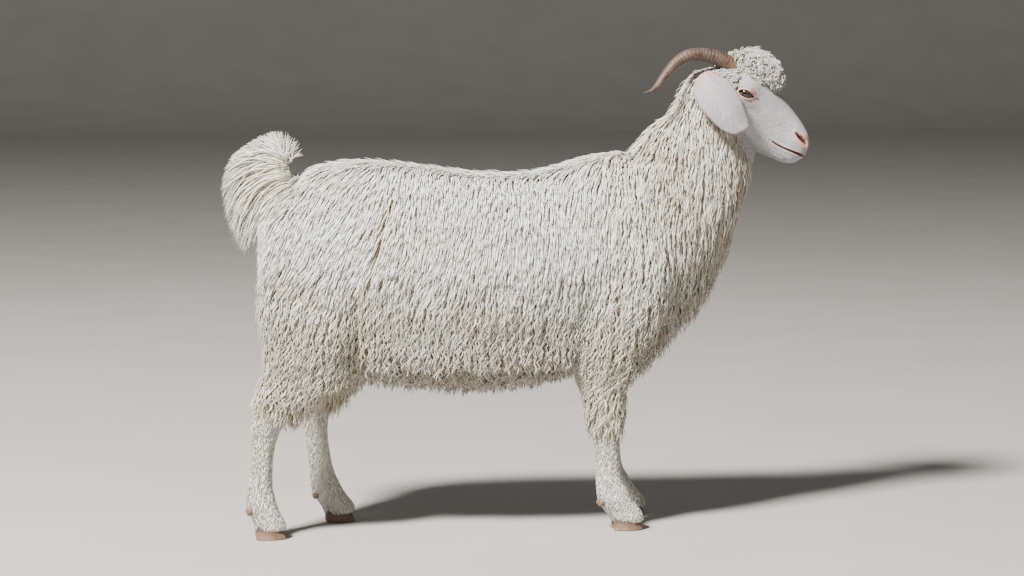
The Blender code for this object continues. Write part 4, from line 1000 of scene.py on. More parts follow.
# Each hair starts sunk into the skin and follows the lie step by step, rising to its own depth.
# A kind that hangs falls free where the skin faces down. A lower profile rises sooner.
def drape(tree, roots, normals, lengths, depths, kind, lie, stray):
    place, normal, steps = roots.copy(), normals.copy(), kind["steps"]
    paths, outs = [roots - normals * kind["sink"]], [normals]
    down = np.array([-0.04, 0, -1.0])
    for k in range(1, steps + 1):
        share = k / steps
        way = lie(place, normal)
        way = unit(way + np.cross(normal, way) * stray[:, None])
        if kind["hang"]:
            free = smoothStep(-0.12, -0.55, normal[:, 2])[:, None]
            way = unit(way * (1 - free) + down * free)
        place = place + way * (lengths / steps)[:, None]
        near, out = nearestOn(tree, place)
        height = np.einsum("ij,ij->i", place - near, out)
        wanted = depths * share ** kind["profile"]
        low = height < wanted
        place[low] = near[low] + out[low] * wanted[low, None]
        high = (height > wanted) & (normal[:, 2] > -0.1)
        pull = np.where(high, (height - wanted) * 0.6, 0.0)
        place -= out * pull[:, None]
        normal = unit(normal * 0.4 + out * 0.6)
        paths.append(place.copy())
        outs.append(normal)
    return np.stack(paths, 1), np.stack(outs, 1)


# Each hair leans towards the leader of its clump, most of all at its tip.
def clumped(paths, roots, spacing, amount, seed):
    draw = np.random.default_rng(seed)
    order = draw.permutation(len(roots))
    _, key = cellsOf(roots[order], spacing)
    leaders = order[np.unique(key, return_index=True)[1]]
    tree = KDTree(len(leaders))
    for i, leader in enumerate(leaders):
        tree.insert(roots[leader], i)
    tree.balance()
    parent = np.array([leaders[tree.find(p)[1]] for p in roots])
    share = np.linspace(0, 1, paths.shape[1])[None, :, None]
    close = smoothStep(spacing * 1.6, spacing * 0.8, np.linalg.norm(roots - roots[parent], axis=1))
    pull = amount * close[:, None, None] * share**0.8
    return paths * (1 - pull) + paths[parent] * pull, parent


# The waves grow from nothing at the root to their full swing at the share called start.
def waved(paths, outs, amplitude, wavelength, phase, lift=0.45, start=0.35):
    ahead = unit(np.gradient(paths, axis=1))
    side = unit(np.cross(ahead, outs))
    up = np.cross(side, ahead)
    steps = np.linalg.norm(np.diff(paths, axis=1), axis=2)
    travel = np.concatenate([np.zeros((len(paths), 1)), np.cumsum(steps, 1)], 1)
    turn = travel / wavelength[:, None] * 2 * math.pi + phase[:, None]
    share = np.linspace(0, 1, paths.shape[1])[None]
    swing = amplitude[:, None] * smoothStep(0, start, share)
    return paths + side * (swing * np.sin(turn))[..., None] + up * (swing * lift * np.cos(turn))[..., None]


def strandPiece(name, kind, paths, outs, width, thickness, tone, markings, uv, *nodes):
    # width and thickness are shares of the kind's own
    count, stations = paths.shape[:2]
    rings = stations - 1
    ahead = unit(np.gradient(paths, axis=1))
    side = unit(np.cross(ahead, outs))
    up = np.cross(side, ahead)
    share = np.linspace(0, 1, stations)
    size = np.interp(share, *zip(*kind["swell"]))[None, :, None]
    wide = np.broadcast_to(kind["width"] * width, count)[:, None, None]
    thick = np.broadcast_to(kind["thickness"] * thickness, count)[:, None, None]
    corners = [paths + side * (across * wide * size) + up * (out * thick * size)
               for across, out in ((-0.5, -0.3), (0.0, 0.6), (0.5, -0.3))]
    body = np.stack(corners, 2)[:, :rings].reshape(count, rings * 3, 3)
    verts = np.concatenate([body, paths[:, -1:]], 1)
    perStrand = rings * 3 + 1
    quads, _ = ringFaces(rings, 3)
    last = (rings - 1) * 3
    tris = np.array([[last + k, last + (k + 1) % 3, rings * 3] for k in range(3)] + [[2, 1, 0]])
    if signedVolume(verts[0], quads, tris) < 0:
        quads, tris = quads[:, ::-1], tris[:, ::-1]
    start = (np.arange(count) * perStrand)[:, None, None]
    along = np.concatenate([np.repeat(share[:rings], 3), [1.0]])
    acrossAt = np.concatenate([np.tile((0.0, 0.5, 1.0), rings), [0.5]])
    hair = np.stack([np.repeat(tone[:, None], perStrand, 1), np.repeat(along[None], count, 0),
                     np.repeat(acrossAt[None], count, 0)], -1)
    patch = np.stack([(acrossAt - 0.5) * 0.003, (along - 0.5) * 0.003], -1)  # a strand's own patch of the map
    vectors = {"hair": hair.reshape(-1, 3), "marks": np.repeat(markings, perStrand, 0)}
    piece = makeMesh(name, verts.reshape(-1, 3), (quads[None] + start).reshape(-1, 4),
                     (tris[None] + start).reshape(-1, 3), kind["material"], vectors,
                     (uv[:, None] + patch[None]).reshape(-1, 2))
    settle(piece, kind.get("slot", "fleece"), *nodes)


def unwrapped(points):  # places on the bake map: trunk, head and legs have a part each
    body = points - shift
    x, y, z = body.T
    onHead = woolPlane(body) > 0
    face, across, crown = worldToHead(points)
    u = 0.05 + 0.60 * np.clip((x + 0.45) / 0.85, 0, 1)
    v = 0.42 + 0.54 * (np.arctan2(y, z - 0.44) / (2 * math.pi) + 0.5)
    u = np.where(onHead, 0.70 + 0.26 * np.clip((face + 0.16) / 0.27, 0, 1), u)
    v = np.where(onHead, 0.42 + 0.54 * (np.arctan2(across, crown - 0.80) / (2 * math.pi) + 0.5), v)
    middle = np.where(x > 0, 0.15 + 0.015 * (y > 0), -0.42 + 0.10 * (y > 0))
    leg = (z < 0.27) & ~onHead
    index = (x > 0) * 2 + (y > 0)
    angle = np.arctan2(np.abs(y) - 0.073, x - middle) / (2 * math.pi) + 0.5
    u = np.where(leg, 0.03 + 0.24 * index + 0.20 * angle, u)
    v = np.where(leg, 0.03 + 0.34 * np.clip(z / 0.27, 0, 1), v)
    return np.stack([u, v], -1)


def softNoise(points, scale, seed):  # a smooth random value from -1 to 1 at each point
    draw = np.random.default_rng(seed)
    total = np.zeros(len(points))
    for _ in range(5):
        way = unit(draw.normal(size=3)) * scale * draw.uniform(0.6, 1.6)
        total += np.sin(points @ way * 2 * math.pi + draw.uniform(0, 6.283))
    return total / 5


def noiseWay(points, scale, seed):  # a smooth random vector
    return np.stack([softNoise(points, scale, seed + i) for i in range(3)], -1)


# The fleece
fleece = {
    "depth": 0.0265,
    "curlTop": 0.475,  # below this height the locks curl
    "bands": (-0.285, -0.14, 0.01, 0.15),
    "bandNames": ("Rump", "Loin", "Flank", "Shoulder", "Neck"),
    "partingWidth": 0.0014,
    "shorterOnBack": 0.010, "longerLow": 0.006, "bellyLength": 0.036,
    "tone": 0.58, "paintedShadeTone": 0.60,  # how light the locks are, and how much darker they are painted where shade falls on the body
    "seeds": {"edge": 19, "clump": 13, "phase": 14, "tone": 15},
    "Smooth": {
        "cell": 0.0055, "steps": 7, "width": 0.0030, "thickness": 0.0007, "clump": 0.012, "wave": 0.034,
        "pull": 0.06, "length": 0.064, "lowest": 0.70, "stray": 0.07, "spread": 0.16, "seed": 11,
        "hang": True, "sink": 0.003, "profile": 0.85,
        "swell": ((0, 0.75), (0.3, 1.0), (0.8, 0.85), (1, 0.22)), "material": backHair},
    "Curly": {
        "cell": 0.0085, "steps": 10, "width": 0.0043, "thickness": 0.0014, "clump": 0.014, "wave": 0.022,
        "pull": 0.44, "length": 0.060, "lowest": 0.55, "stray": 0.08, "spread": 0.28, "seed": 12,
        "hang": True, "sink": 0.003, "profile": 0.85,
        "swell": ((0, 0.55), (0.2, 1.0), (0.55, 0.95), (0.8, 0.62), (1, 0.15)), "material": mohair},
}


def growsFleece(points, normals):
    body = points - shift
    x, y, z = body.T
    tailRoot = (x < -0.380) & (z > 0.57) & (np.abs(y) < 0.022)
    gap, _ = distanceTo(marks["crease"], x, z)
    parted = (gap < fleece["partingWidth"]) & (y < -0.05)
    return (woolPlane(body) < 0.002) & (z > fleeceHem(body)) & ~tailRoot & ~parted


def isSmooth(body):  # the straighter hair of the back, with a wandering edge
    seed = fleece["seeds"]["edge"]
    wander = 0.030 * softNoise(body, 7.0, seed) + 0.02 * softNoise(body, 40.0, seed + 1)
    return (body[:, 2] + wander > fleece["curlTop"]) & (body[:, 0] + wander < 0.13)


def growsSmooth(points, normals):
    return growsFleece(points, normals) & isSmooth(points - shift)


def growsCurly(points, normals):
    return growsFleece(points, normals) & ~isSmooth(points - shift)


def fleeceDepth(body):  # how far the coat stands off the skin, less towards its edges
    x, _, z = body.T
    full = fleece["depth"]
    depth = np.full(len(body), full)
    fore = np.interp(z, (0.165, 0.195, 0.24, 0.29, 0.345), (0.005, 0.010, 0.016, 0.020, full))
    hind = np.interp(z, (0.19, 0.218, 0.262, 0.32, 0.39), (0.007, 0.014, 0.022, 0.0255, full))
    depth = np.where(x > 0.085, np.minimum(depth, fore), depth)
    depth = np.where(x < -0.25, np.minimum(depth, hind), depth)
    nape = np.interp(woolPlane(body), (-0.11, -0.08, -0.05, -0.02, 0.01), (full, 0.025, 0.016, 0.010, 0.006))
    return np.minimum(depth, nape) - matDepth(body)


def buildFleece(word, wanted):
    kind, seeds = fleece[word], fleece["seeds"]
    roots, normals, draw, count = sown(skin, wanted, kind)
    body = roots - shift
    x, y, z = body.T
    low, legs = smoothStep(0.44, 0.30, z), smoothStep(0.30, 0.24, z)
    nape = smoothStep(-0.06, 0.0, woolPlane(body))
    belly = smoothStep(-0.25, -0.7, normals[:, 2]) * (z < 0.33)
    onBack = smoothStep(0.45, 0.85, normals[:, 2])
    lengths = kind["length"] - fleece["shorterOnBack"] * onBack + fleece["longerLow"] * low
    lengths = lengths * (1 - 0.35 * legs) * (1 - 0.5 * nape)
    lengths = lengths * (1 - belly) + fleece["bellyLength"] * belly
    lengths = lengths * draw.uniform(0.78, 1.18, count)
    depths = fleeceDepth(body) * draw.uniform(kind["lowest"], 1.0, count)
    stray = draw.normal(0, kind["stray"], count)
    paths, outs = drape(skinTree, roots, normals, lengths, depths, kind, fleeceLie, stray)
    paths, _ = clumped(paths, roots, kind["clump"], kind["pull"], seeds["clump"])
    swing = 0.0004 + 0.0016 * smoothStep(0.53, 0.40, z) + 0.0016 * low + 0.0009 * (x > 0.15)
    swing = swing * (1 - 0.3 * nape) * draw.uniform(0.7, 1.25, count) * (1 - 0.40 * legs)
    wavelength = (kind["wave"] - 0.003 * low) * (1 + 0.35 * legs) * draw.uniform(0.85, 1.15, count)
    phase = 5.0 * softNoise(roots, 14.0, seeds["phase"]) + draw.normal(0, 0.5, count)
    paths = waved(paths, outs, swing, wavelength, phase)
    # painted shade: the locks are darker on the throat and chest, the thighs, the neck and low down, where
    # the body lies in shade; on the throat and chest it also stands for dirtier wool
    paintedShade = np.maximum(smoothStep(0.18, 0.30, x) * smoothStep(-0.25, 0.45, normals[:, 0]),
                      0.90 * smoothStep(0.47, 0.37, z))
    paintedShade = np.maximum(paintedShade, 0.45 * smoothStep(-0.22, -0.32, x) * smoothStep(0.56, 0.46, z))
    paintedShade = np.maximum(paintedShade, 0.75 * smoothStep(0.19, 0.27, x))
    tone = fleece["tone"] + 0.15 * softNoise(roots, 8.0, seeds["tone"])
    tone = tone + draw.normal(0, kind["spread"], count) - fleece["paintedShadeTone"] * paintedShade
    tone = np.clip(tone, 0, 1)
    width = draw.uniform(0.75, 1.2, count)
    thickness = draw.uniform(0.8, 1.2, count)
    markings, uv = marksAndShadeAt(roots), unwrapped(roots)
    bands = np.digitize(x, fleece["bands"])
    for band, bandWord in enumerate(fleece["bandNames"]):
        for sideWord, onSide in (("Right", y < 0), ("Left", y >= 0)):
            pick = (bands == band) & onSide
            if pick.any():
                strandPiece("fleece" + bandWord + sideWord + word, kind, paths[pick], outs[pick], width[pick],
                            thickness[pick], tone[pick], markings[pick], uv[pick])
    return count


print("smooth fleece", buildFleece("Smooth", growsSmooth))
print("curly fleece", buildFleece("Curly", growsCurly))

# Ears
ear = {
    "root": (0.322, -0.043, 0.769), "tip": (0.378, -0.090, 0.683), "forward": (0.90, 0.10, 0.42),
    "length": 0.118, "thickness": 0.0042, "cup": 0.011, "sweep": 0.013,
    "edges": (  # share along, back edge, front edge
        (0.00, -0.014, 0.012), (0.08, -0.024, 0.016), (0.20, -0.034, 0.022), (0.35, -0.0388, 0.027),
        (0.55, -0.0378, 0.0282), (0.76, -0.0325, 0.0238), (0.92, -0.0240, 0.0195),
        (1.01, -0.0150, 0.0155), (1.045, -0.006, 0.0105), (1.058, 0.001, 0.005)),
    "steps": 8, "columns": 30,
}


def earFrame(side):
    root, tip = np.array(ear["root"]), np.array(ear["tip"])
    along = unit(tip - root)
    forward = np.array(ear["forward"])
    forward = unit(forward - along * (along @ forward))
    out = np.cross(along, forward)
    out = -out if out[1] > 0 else out
    flip = np.array([1, side, 1])
    return root * flip, along * flip, forward * flip, out * flip


def buildEar(side, name, node):
    root, along, forward, out = earFrame(side)
    edges = smoothRows(ear["edges"], ear["steps"])
    t, back, front = (edges[:, i, None] for i in range(3))
    s = np.linspace(-1, 1, ear["columns"])[None]
    sweep = ear["sweep"] * np.sin(math.pi * np.minimum(t, 1) ** 0.9)
    cup = ear["cup"] * (front - back) / 0.066 * (1 - s**2)
    thick = ear["thickness"] * (1 - 0.45 * t) * (1 - 0.55 * s**2) / 2
    folds = 0.0016 * hump(s, 0.30, 0.14) * smoothStep(0.60, 0.05, t) \
        + 0.0012 * hump(s, -0.30, 0.16) * smoothStep(0.50, 0.05, t)
    ripple = 0.0008 * np.sin(t * 17 + s * 2.5) * np.abs(s) ** 3
    middle = (root + along * (ear["length"] * t * np.ones_like(s))[..., None]
              + forward * (back + (front - back) * (s + 1) / 2)[..., None]
              + out * (sweep + cup + ripple)[..., None])
    outer = middle + out * (thick + folds)[..., None]
    inner = middle - out * thick[..., None]
    rings = np.concatenate([outer, inner[:, ::-1]], 1)
    flat = np.concatenate([np.repeat(t, ear["columns"], 1)] * 2, 1)
    edge = np.abs(np.concatenate([s, s[:, ::-1]], 1)) * np.ones_like(flat)
    inside = np.repeat((0.0, 1.0), ear["columns"])[None] * np.ones_like(flat)
    pink = 0.40 * smoothStep(0.90, 1.0, edge) + 0.60 * smoothStep(0.22, 0.0, flat) + 0.30 * inside \
        + 0.25 * smoothStep(1.00, 1.055, flat) + 0.06
    none = np.zeros_like(pink)
    made = ringMesh(name, turned(rings) + shift, earFinish, {
        "marks": np.stack([np.clip(pink, 0, 0.7), none, none], -1),
        "areas": np.stack([none, none, 0.15 * inside], -1)})
    settle(made, "face", node)
    return made


earPieces = {}
for side, word in ((1, "right"), (-1, "left")):
    earPieces[word] = buildEar(side, "ear" + word.capitalize(), "ear_" + word)
print("ears made")

# Horns
horn = {
    "rows": (  # x, y, z, half depth, half width on the right side
        (0.388, -0.017, 0.765, 0.0140, 0.0110),
        (0.381, -0.022, 0.775, 0.0138, 0.0110), (0.366, -0.027, 0.786, 0.0128, 0.0106),
        (0.346, -0.033, 0.7955, 0.0120, 0.0100), (0.322, -0.040, 0.8015, 0.0110, 0.0092),
        (0.298, -0.049, 0.8005, 0.0098, 0.0083), (0.276, -0.059, 0.7888, 0.0083, 0.0070),
        (0.259, -0.068, 0.7715, 0.0068, 0.0058), (0.244, -0.076, 0.752, 0.0055, 0.0048),
        (0.232, -0.082, 0.742, 0.0040, 0.0034), (0.217, -0.087, 0.7375, 0.0014, 0.0013)),
    "sides": 36, "steps": 22, "ridges": 44, "ridgeHeight": 0.00026,
    "leftDrift": (0.0075, -0.004, -0.005),  # how far the left tip stays nearer to the neck
}


def buildHorn(side, name, node):
    rows = smoothRows(horn["rows"], horn["steps"])
    rows[:, 1] *= side
    t = np.linspace(0, 1, len(rows))[:, None]
    if side < 0:
        rows[:, :3] += np.array(horn["leftDrift"]) * smoothStep(0.15, 1.0, t)
    rings = tubeRings(rows, horn["sides"])
    turn = ringAngles(horn["sides"])[None]
    wander = 0.8 * np.sin(t * 17) + 0.6 * np.sin(t * 41 + 1.3) + 0.45 * np.sin(turn * 2 + t * 9)
    wave = np.sin(t * horn["ridges"] * 2 * math.pi + wander * 1.6)
    ridge = np.sign(wave) * np.abs(wave) ** 0.7
    fade = smoothStep(1.0, 0.72, t) * smoothStep(0.0, 0.03, t)
    strong = 0.65 + 0.35 * np.sin(t * 23 + 0.7)
    fromKeel = np.angle(np.exp(1j * (turn - math.pi / 2)))
    keel = 0.0012 * hump(fromKeel, 0, 0.5) * smoothStep(1.0, 0.6, t)
    way = unit(rings - rings.mean(1, keepdims=True))
    rings = rings + way * (horn["ridgeHeight"] * ridge * fade * strong + keel)[..., None]
    data = np.stack([t * np.ones_like(turn), np.zeros_like(ridge), 0.5 + 0.5 * ridge * fade], -1)
    settle(ringMesh(name, turned(rings) + shift, hornFinish, {"horn": data}), "horn", node)


for side, word in ((1, "right"), (-1, "left")):
    buildHorn(side, "horn" + word.capitalize(), "horn_" + word)
print("horns made")

# Eyes
def buildEye(side, name, node):
    polar = np.linspace(0.02, math.pi - 0.02, eyeCut["ballRings"])[:, None]
    turn = ringAngles(eyeCut["ballSides"])
    u = np.sin(polar) * np.cos(turn)
    v = np.sin(polar) * np.sin(turn)
    w = np.cos(polar) * np.ones_like(turn)
    radius = eyeCut["radius"]
    swell = 1 + eyeCut["clearSwell"] * smoothStep(0.74, 0.92, w)  # the clear front of the eye
    face, crown = fromEyePlane(u * radius * swell, v * radius * swell)
    rings = headToWorld(face, side * (pose["eyeSide"] + w * radius * swell), crown)
    settle(ringMesh(name, rings, eyeFinish, {"gaze": np.stack([u, v, w], -1)}), "eye", node)


for side, word in ((-1, "right"), (1, "left")):
    buildEye(side, "eye" + word.capitalize(), "eye_" + word)
print("eyes made")

# Claws and dewclaws
claw = {
    "length": 0.050, "width": 0.0225, "split": 0.0035, "slope": 0.007, "taper": 0.38, "turnIn": 0.0022,
    "sides": 56, "dewSides": 20,
    "growth": 0.00022, "growthRate": 2600,  # the fine level ridges of a claw's wall
    # height, size, share of the slope backwards
    "rings": ((0.0, 0.90, 0.0), (0.0006, 0.965, 0.0), (0.002, 1.0, 0.0), (0.010, 0.97, -0.3),
              (0.01685, 0.90, -0.7), (0.0235, 0.78, -1.0)),
    "dewHeight": 0.052, "dewSide": 0.011, "dewIn": 0.006, "dewWay": (-0.75, 0, -0.66),
    "dewLength": 0.014, "dewRadius": 0.0058,
    # share along, size
    "dewRings": ((0, 0.80), (0.25, 0.95), (0.5, 1.0), (0.75, 0.80), (0.93, 0.55), (1.0, 0.30)),
}


def buildClaws(leg):
    rows = legRows(leg)
    footX, footY = rows[-2][:2]
    table = np.array(rows)[::-1]
    legX, reach = (np.interp(claw["dewHeight"], table[:, 2], table[:, i]) for i in (0, 3))
    title, ending = leg[0].upper() + leg[1:], leg[:4] + "_" + leg[4:].lower() + "_"
    outwards = 1 if leg.endswith("Left") else -1
    turn = ringAngles(claw["sides"])[None]
    levels = smoothRows(claw["rings"], 9)
    z, size, slide = (levels[:, i, None] for i in range(3))
    toe = np.maximum(np.cos(turn), 0)
    for part, sideways in (("inner", -outwards), ("outer", outwards)):
        middle = footY + sideways * (claw["width"] + claw["split"]) / 2
        x = footX + claw["length"] / 2 * size * np.cos(turn) + claw["slope"] * slide * (0.4 + toe)
        y = middle + claw["width"] / 2 * size * (1 - claw["taper"] * toe**2) * np.sin(turn) \
            - sideways * claw["turnIn"] * toe
        growth = np.sin(z * claw["growthRate"] + 0.6 * np.sin(turn * 2)) * smoothStep(0.001, 0.003, z)
        growth = claw["growth"] * growth
        rings = np.stack([x + growth * np.cos(turn), y + growth * np.sin(turn), z * np.ones_like(x)], -1)
        share = np.clip(1 - z / 0.0168, 0, 1) * np.ones_like(x)
        data = np.stack([share, share * 0, share * 0], -1)
        made = ringMesh("claw" + title + part.capitalize(), rings + shift, clawFinish, {"horn": data})
        settle(made, "claw", "claw_" + ending + part)
        start = np.array([legX - reach + claw["dewIn"], footY + sideways * claw["dewSide"],
                          claw["dewHeight"]])
        way = unit(np.array(claw["dewWay"])) * claw["dewLength"]
        spine = [(*(start + way * s), r * claw["dewRadius"], r * claw["dewRadius"] * 0.9)
                 for s, r in claw["dewRings"]]
        spine = smoothRows(spine, 3)
        along = np.linspace(0.06, 0.5, len(spine))[:, None] * np.ones((1, claw["dewSides"]))
        data = np.stack([along, along * 0, along * 0], -1)
        rings = tubeRings(spine, claw["dewSides"]) + shift
        made = ringMesh("dewclaw" + title + part.capitalize(), rings, clawFinish, {"horn": data})
        settle(made, "claw", "dewclaw_" + ending + part)


for leg in flesh["footShift"]:
    buildClaws(leg)
print("claws made")

# The tail's hair
tail = {
    "fan": (  # start x, z, bend x, z, tip x, z
        (-0.392, 0.624, -0.372, 0.632, -0.352, 0.632), (-0.396, 0.630, -0.386, 0.650, -0.366, 0.660),
        (-0.398, 0.634, -0.398, 0.660, -0.398, 0.678), (-0.399, 0.632, -0.420, 0.664, -0.444, 0.661),
        (-0.398, 0.628, -0.440, 0.654, -0.482, 0.630), (-0.397, 0.622, -0.456, 0.644, -0.498, 0.583),
        (-0.396, 0.614, -0.462, 0.626, -0.493, 0.534), (-0.394, 0.604, -0.458, 0.606, -0.479, 0.488),
        (-0.392, 0.592, -0.446, 0.588, -0.464, 0.464), (-0.390, 0.580, -0.432, 0.574, -0.450, 0.470),
        (-0.388, 0.568, -0.418, 0.562, -0.438, 0.482)),
    "spread": 0.022, "count": 1250, "clumps": 64, "stations": 13, "width": 0.0038, "thickness": 0.0018,
    "dock": 0.0125, "overDock": 0.015, "seed": 21,
    "swell": ((0, 0.7), (0.3, 1.0), (0.7, 0.75), (1, 0.12)), "material": tailHair,
}


def alongFan(fan, where):
    index = where * (len(fan) - 1)
    return np.stack([np.interp(index, np.arange(len(fan)), fan[:, i]) for i in range(6)], -1)


def buildTail():
    draw = np.random.default_rng(tail["seed"])
    count = tail["count"]
    fan = smoothRows(tail["fan"], 20)
    owner = draw.integers(0, tail["clumps"], count)
    clumpPlace = draw.random(tail["clumps"])[owner]
    clumpLayer = draw.uniform(-1, 1, tail["clumps"])[owner]
    place, layer = draw.random(count), draw.uniform(-1, 1, count)
    side = np.where(layer < 0, -1.0, 1.0)
    ends = np.clip(clumpPlace * 0.72 + place * 0.28, 0, 1)
    endLayer = clumpLayer * 0.6 + layer * 0.4
    first = alongFan(fan, np.clip(ends + (place - 0.5) * 0.30, 0, 1))
    second = alongFan(fan, ends)
    # roots lie all round the dock, so that the hair hides it
    first[:, 0] += draw.uniform(-0.2, 1.0, count) * tail["overDock"] * np.abs(layer) ** 0.3
    reach = np.minimum(draw.uniform(0.66, 1.05, count), 1.0)
    t = np.linspace(0, 1, tail["stations"])[None] * reach[:, None]
    bend = (first[:, 2:4] + second[:, 2:4]) / 2
    x, z = ((1 - t) ** 2 * first[:, i, None] + 2 * t * (1 - t) * bend[:, i, None]
            + t**2 * second[:, i + 4, None] for i in (0, 1))
    fanned = (layer[:, None] * (1 - t) + endLayer[:, None] * t) * tail["spread"]
    fanned = fanned * (0.35 + 0.65 * np.sin(2.5 * t))
    across = side[:, None] * tail["dock"] * (1 - t) ** 3 + fanned
    paths = np.stack([x, across, z], -1) + shift
    outs = np.zeros_like(paths)
    outs[..., 1] = side[:, None]
    paths = waved(paths, outs, draw.uniform(0.0004, 0.0014, count), draw.uniform(0.035, 0.06, count),
                  2.0 * np.sin(owner * 3.7) + draw.normal(0, 0.4, count))
    tone = np.clip(0.55 + 0.30 * np.sin(owner * 2.4) + draw.normal(0, 0.12, count), 0, 1)
    yellow = (np.sin(owner * 7.1) > 0.1) * smoothStep(0.40, 0.80, ends)
    markings = np.zeros((count, 3))
    markings[:, 2] = 0.40 * yellow * draw.uniform(0.2, 1.0, count) + 0.25 * smoothStep(0.90, 1.0, ends)
    uv = np.stack([0.05 + 0.9 * place, 0.05 + 0.9 * (layer + 1) / 2], -1)
    fine = 0.5 + 0.5 * smoothStep(0.05, 0.45, ends)  # the upright hairs at the top are thinner
    strandPiece("tailPlume", tail, paths, outs, fine * draw.uniform(0.6, 1.15, count), 1.0, tone, markings,
                uv, "tail")


buildTail()
print("tail hair made")

# The forelock
forelock = {
    "mound": (  # face, crown of the middle, depth, width
        (-0.096, 0.856, 0.008, 0.010), (-0.084, 0.862, 0.022, 0.020), (-0.070, 0.868, 0.028, 0.030),
        (-0.050, 0.872, 0.031, 0.037), (-0.020, 0.873, 0.027, 0.034), (-0.003, 0.871, 0.017, 0.023),
        (0.004, 0.870, 0.007, 0.011)),
    "moundSteps": 12, "moundSides": 48, "seed": 31,
    "cell": 0.0031, "depth": 0.0155, "steps": 12, "width": 0.0018, "thickness": 0.0011,
    "hang": False, "sink": 0.001, "profile": 0.6, "clump": 0.009, "pull": 0.45,
    "swell": ((0, 0.7), (0.3, 1.0), (0.8, 0.85), (1, 0.3)), "material": curlHair,
}


def growsForelock(points, normals):
    face, _, crown = worldToHead(points)
    lowest = np.interp(face, (-0.085, -0.078, -0.060, -0.035, 0.005), (0.883, 0.872, 0.864, 0.866, 0.862))
    return (crown > lowest) & (face > -0.088)


def headWay(face, across, crown):
    return headPoint(face, across, crown) @ yawTurn.T


def forelockLie(points, normals):
    face, across, _ = worldToHead(points)
    forward = smoothStep(-0.100, -0.060, face) * 0.80 + 0.05
    way = headWay(forward, np.clip(across / 0.022, -1, 1) * 0.75, -0.40)
    return alongSkin(way + 0.5 * noiseWay(points, 30.0, forelock["seed"] + 5), normals)


def buildForelock():
    sides, seed = forelock["moundSides"], forelock["seed"]
    rows = smoothRows(forelock["mound"], forelock["moundSteps"])
    turn = ringAngles(sides)[None]
    face = np.repeat(rows[:, 0:1], sides, 1)
    rings = headToWorld(face, rows[:, 3:4] * np.cos(turn), rows[:, 1:2] + rows[:, 2:3] * np.sin(turn))
    none = np.zeros_like(face)
    base = ringMesh("forelockRoots", rings, curlHair, {
        "hair": np.stack([none + 0.4, none + 0.12, none + 0.5], -1), "marks": np.stack([none] * 3, -1)})
    settle(base, "fleece")
    roots, normals, draw, count = sown(base, growsForelock, forelock)
    _, _, crown = worldToHead(roots)
    lengths = (0.016 + 0.008 * smoothStep(0.872, 0.895, crown)) * draw.uniform(0.7, 1.2, count)
    depths = forelock["depth"] * draw.uniform(0.35, 1.05, count)
    depths = depths * (0.70 + 0.30 * smoothStep(0.868, 0.890, crown))
    paths, outs = drape(treeOf(base), roots, normals, lengths, depths, forelock, forelockLie,
                        draw.normal(0, 0.15, count))
    paths, parent = clumped(paths, roots, forelock["clump"], forelock["pull"], seed + 2)
    swing = draw.uniform(0.0009, 0.0018, count)
    phase = 4.0 * softNoise(roots, 40.0, seed + 3) + draw.normal(0, 0.6, count)
    paths = waved(paths, outs, swing, draw.uniform(0.008, 0.012, count), phase, 0.8, 0.25)
    tone = 0.55 + 0.3 * softNoise(roots[parent], 90.0, seed + 4) + draw.normal(0, 0.15, count)
    tone = np.clip(tone, 0, 1)
    strandPiece("forelockCurls", forelock, paths, outs, draw.uniform(0.7, 1.2, count), 1.0, tone,
                np.zeros((count, 3)), unwrapped(roots))
    return count


print("forelock curls", buildForelock())

# Short hair on the face, shanks and rims of the ears
shortSwell = ((0, 0.9), (0.5, 1.0), (1, 0.15))
shortJitter = 0.7  # how unevenly the roots lie
shortest = 0.0022  # shorter hairs are left out
short = {  # marked: whether the skin's markings and painted shade colour the hair
    "face": {"cell": 0.0034, "width": 0.0010, "thickness": 0.0004, "rise": 0.0001, "seed": 41, "marked": 1,
             "swell": shortSwell, "material": shortHair, "slot": "face"},
    "shank": {"cell": 0.0042, "width": 0.0026, "thickness": 0.0012, "rise": 0.0018, "seed": 51, "marked": 1,
              "swell": shortSwell, "material": shankHair},
    "ear": {"cell": 0.0022, "width": 0.0009, "thickness": 0.0003, "rise": 0.0001, "seed": 81, "marked": 0,
            "swell": shortSwell, "material": earHair, "slot": "face"},
}


def headLie(points, normals):
    face, _, _ = worldToHead(points)
    return alongSkin(headWay(-1.0, 0.0, -0.25 - 0.5 * smoothStep(-0.02, -0.10, face)), normals)


def shankLie(points, normals):
    return alongSkin(np.tile((-0.10, 0, -1.0), (len(points), 1)), normals)


def clearOfFeatures(points):  # distance to the eye, the mouth and the nostril
    face, across, crown = worldToHead(points)
    u, v = eyePlane(face, crown)
    clear = np.full(len(face), 0.05)
    near = (np.abs(u) < 0.05) & (np.abs(v) < 0.04) & (np.abs(across) > 0.02)
    if near.any():
        inside = (np.abs(u[near]) < 0.012) & (np.abs(v[near]) < 0.004)
        clear[near] = np.where(inside, 0, distanceTo(eyeLoop(), u[near], v[near])[0])
    clear = np.minimum(clear, np.where(face > 0.030, np.abs(crown - mouthCrown(face)), 0.05))
    hole, _ = distanceTo([row[:2] for row in head["nostril"]], face, crown)
    return np.minimum(clear, hole - 0.001)


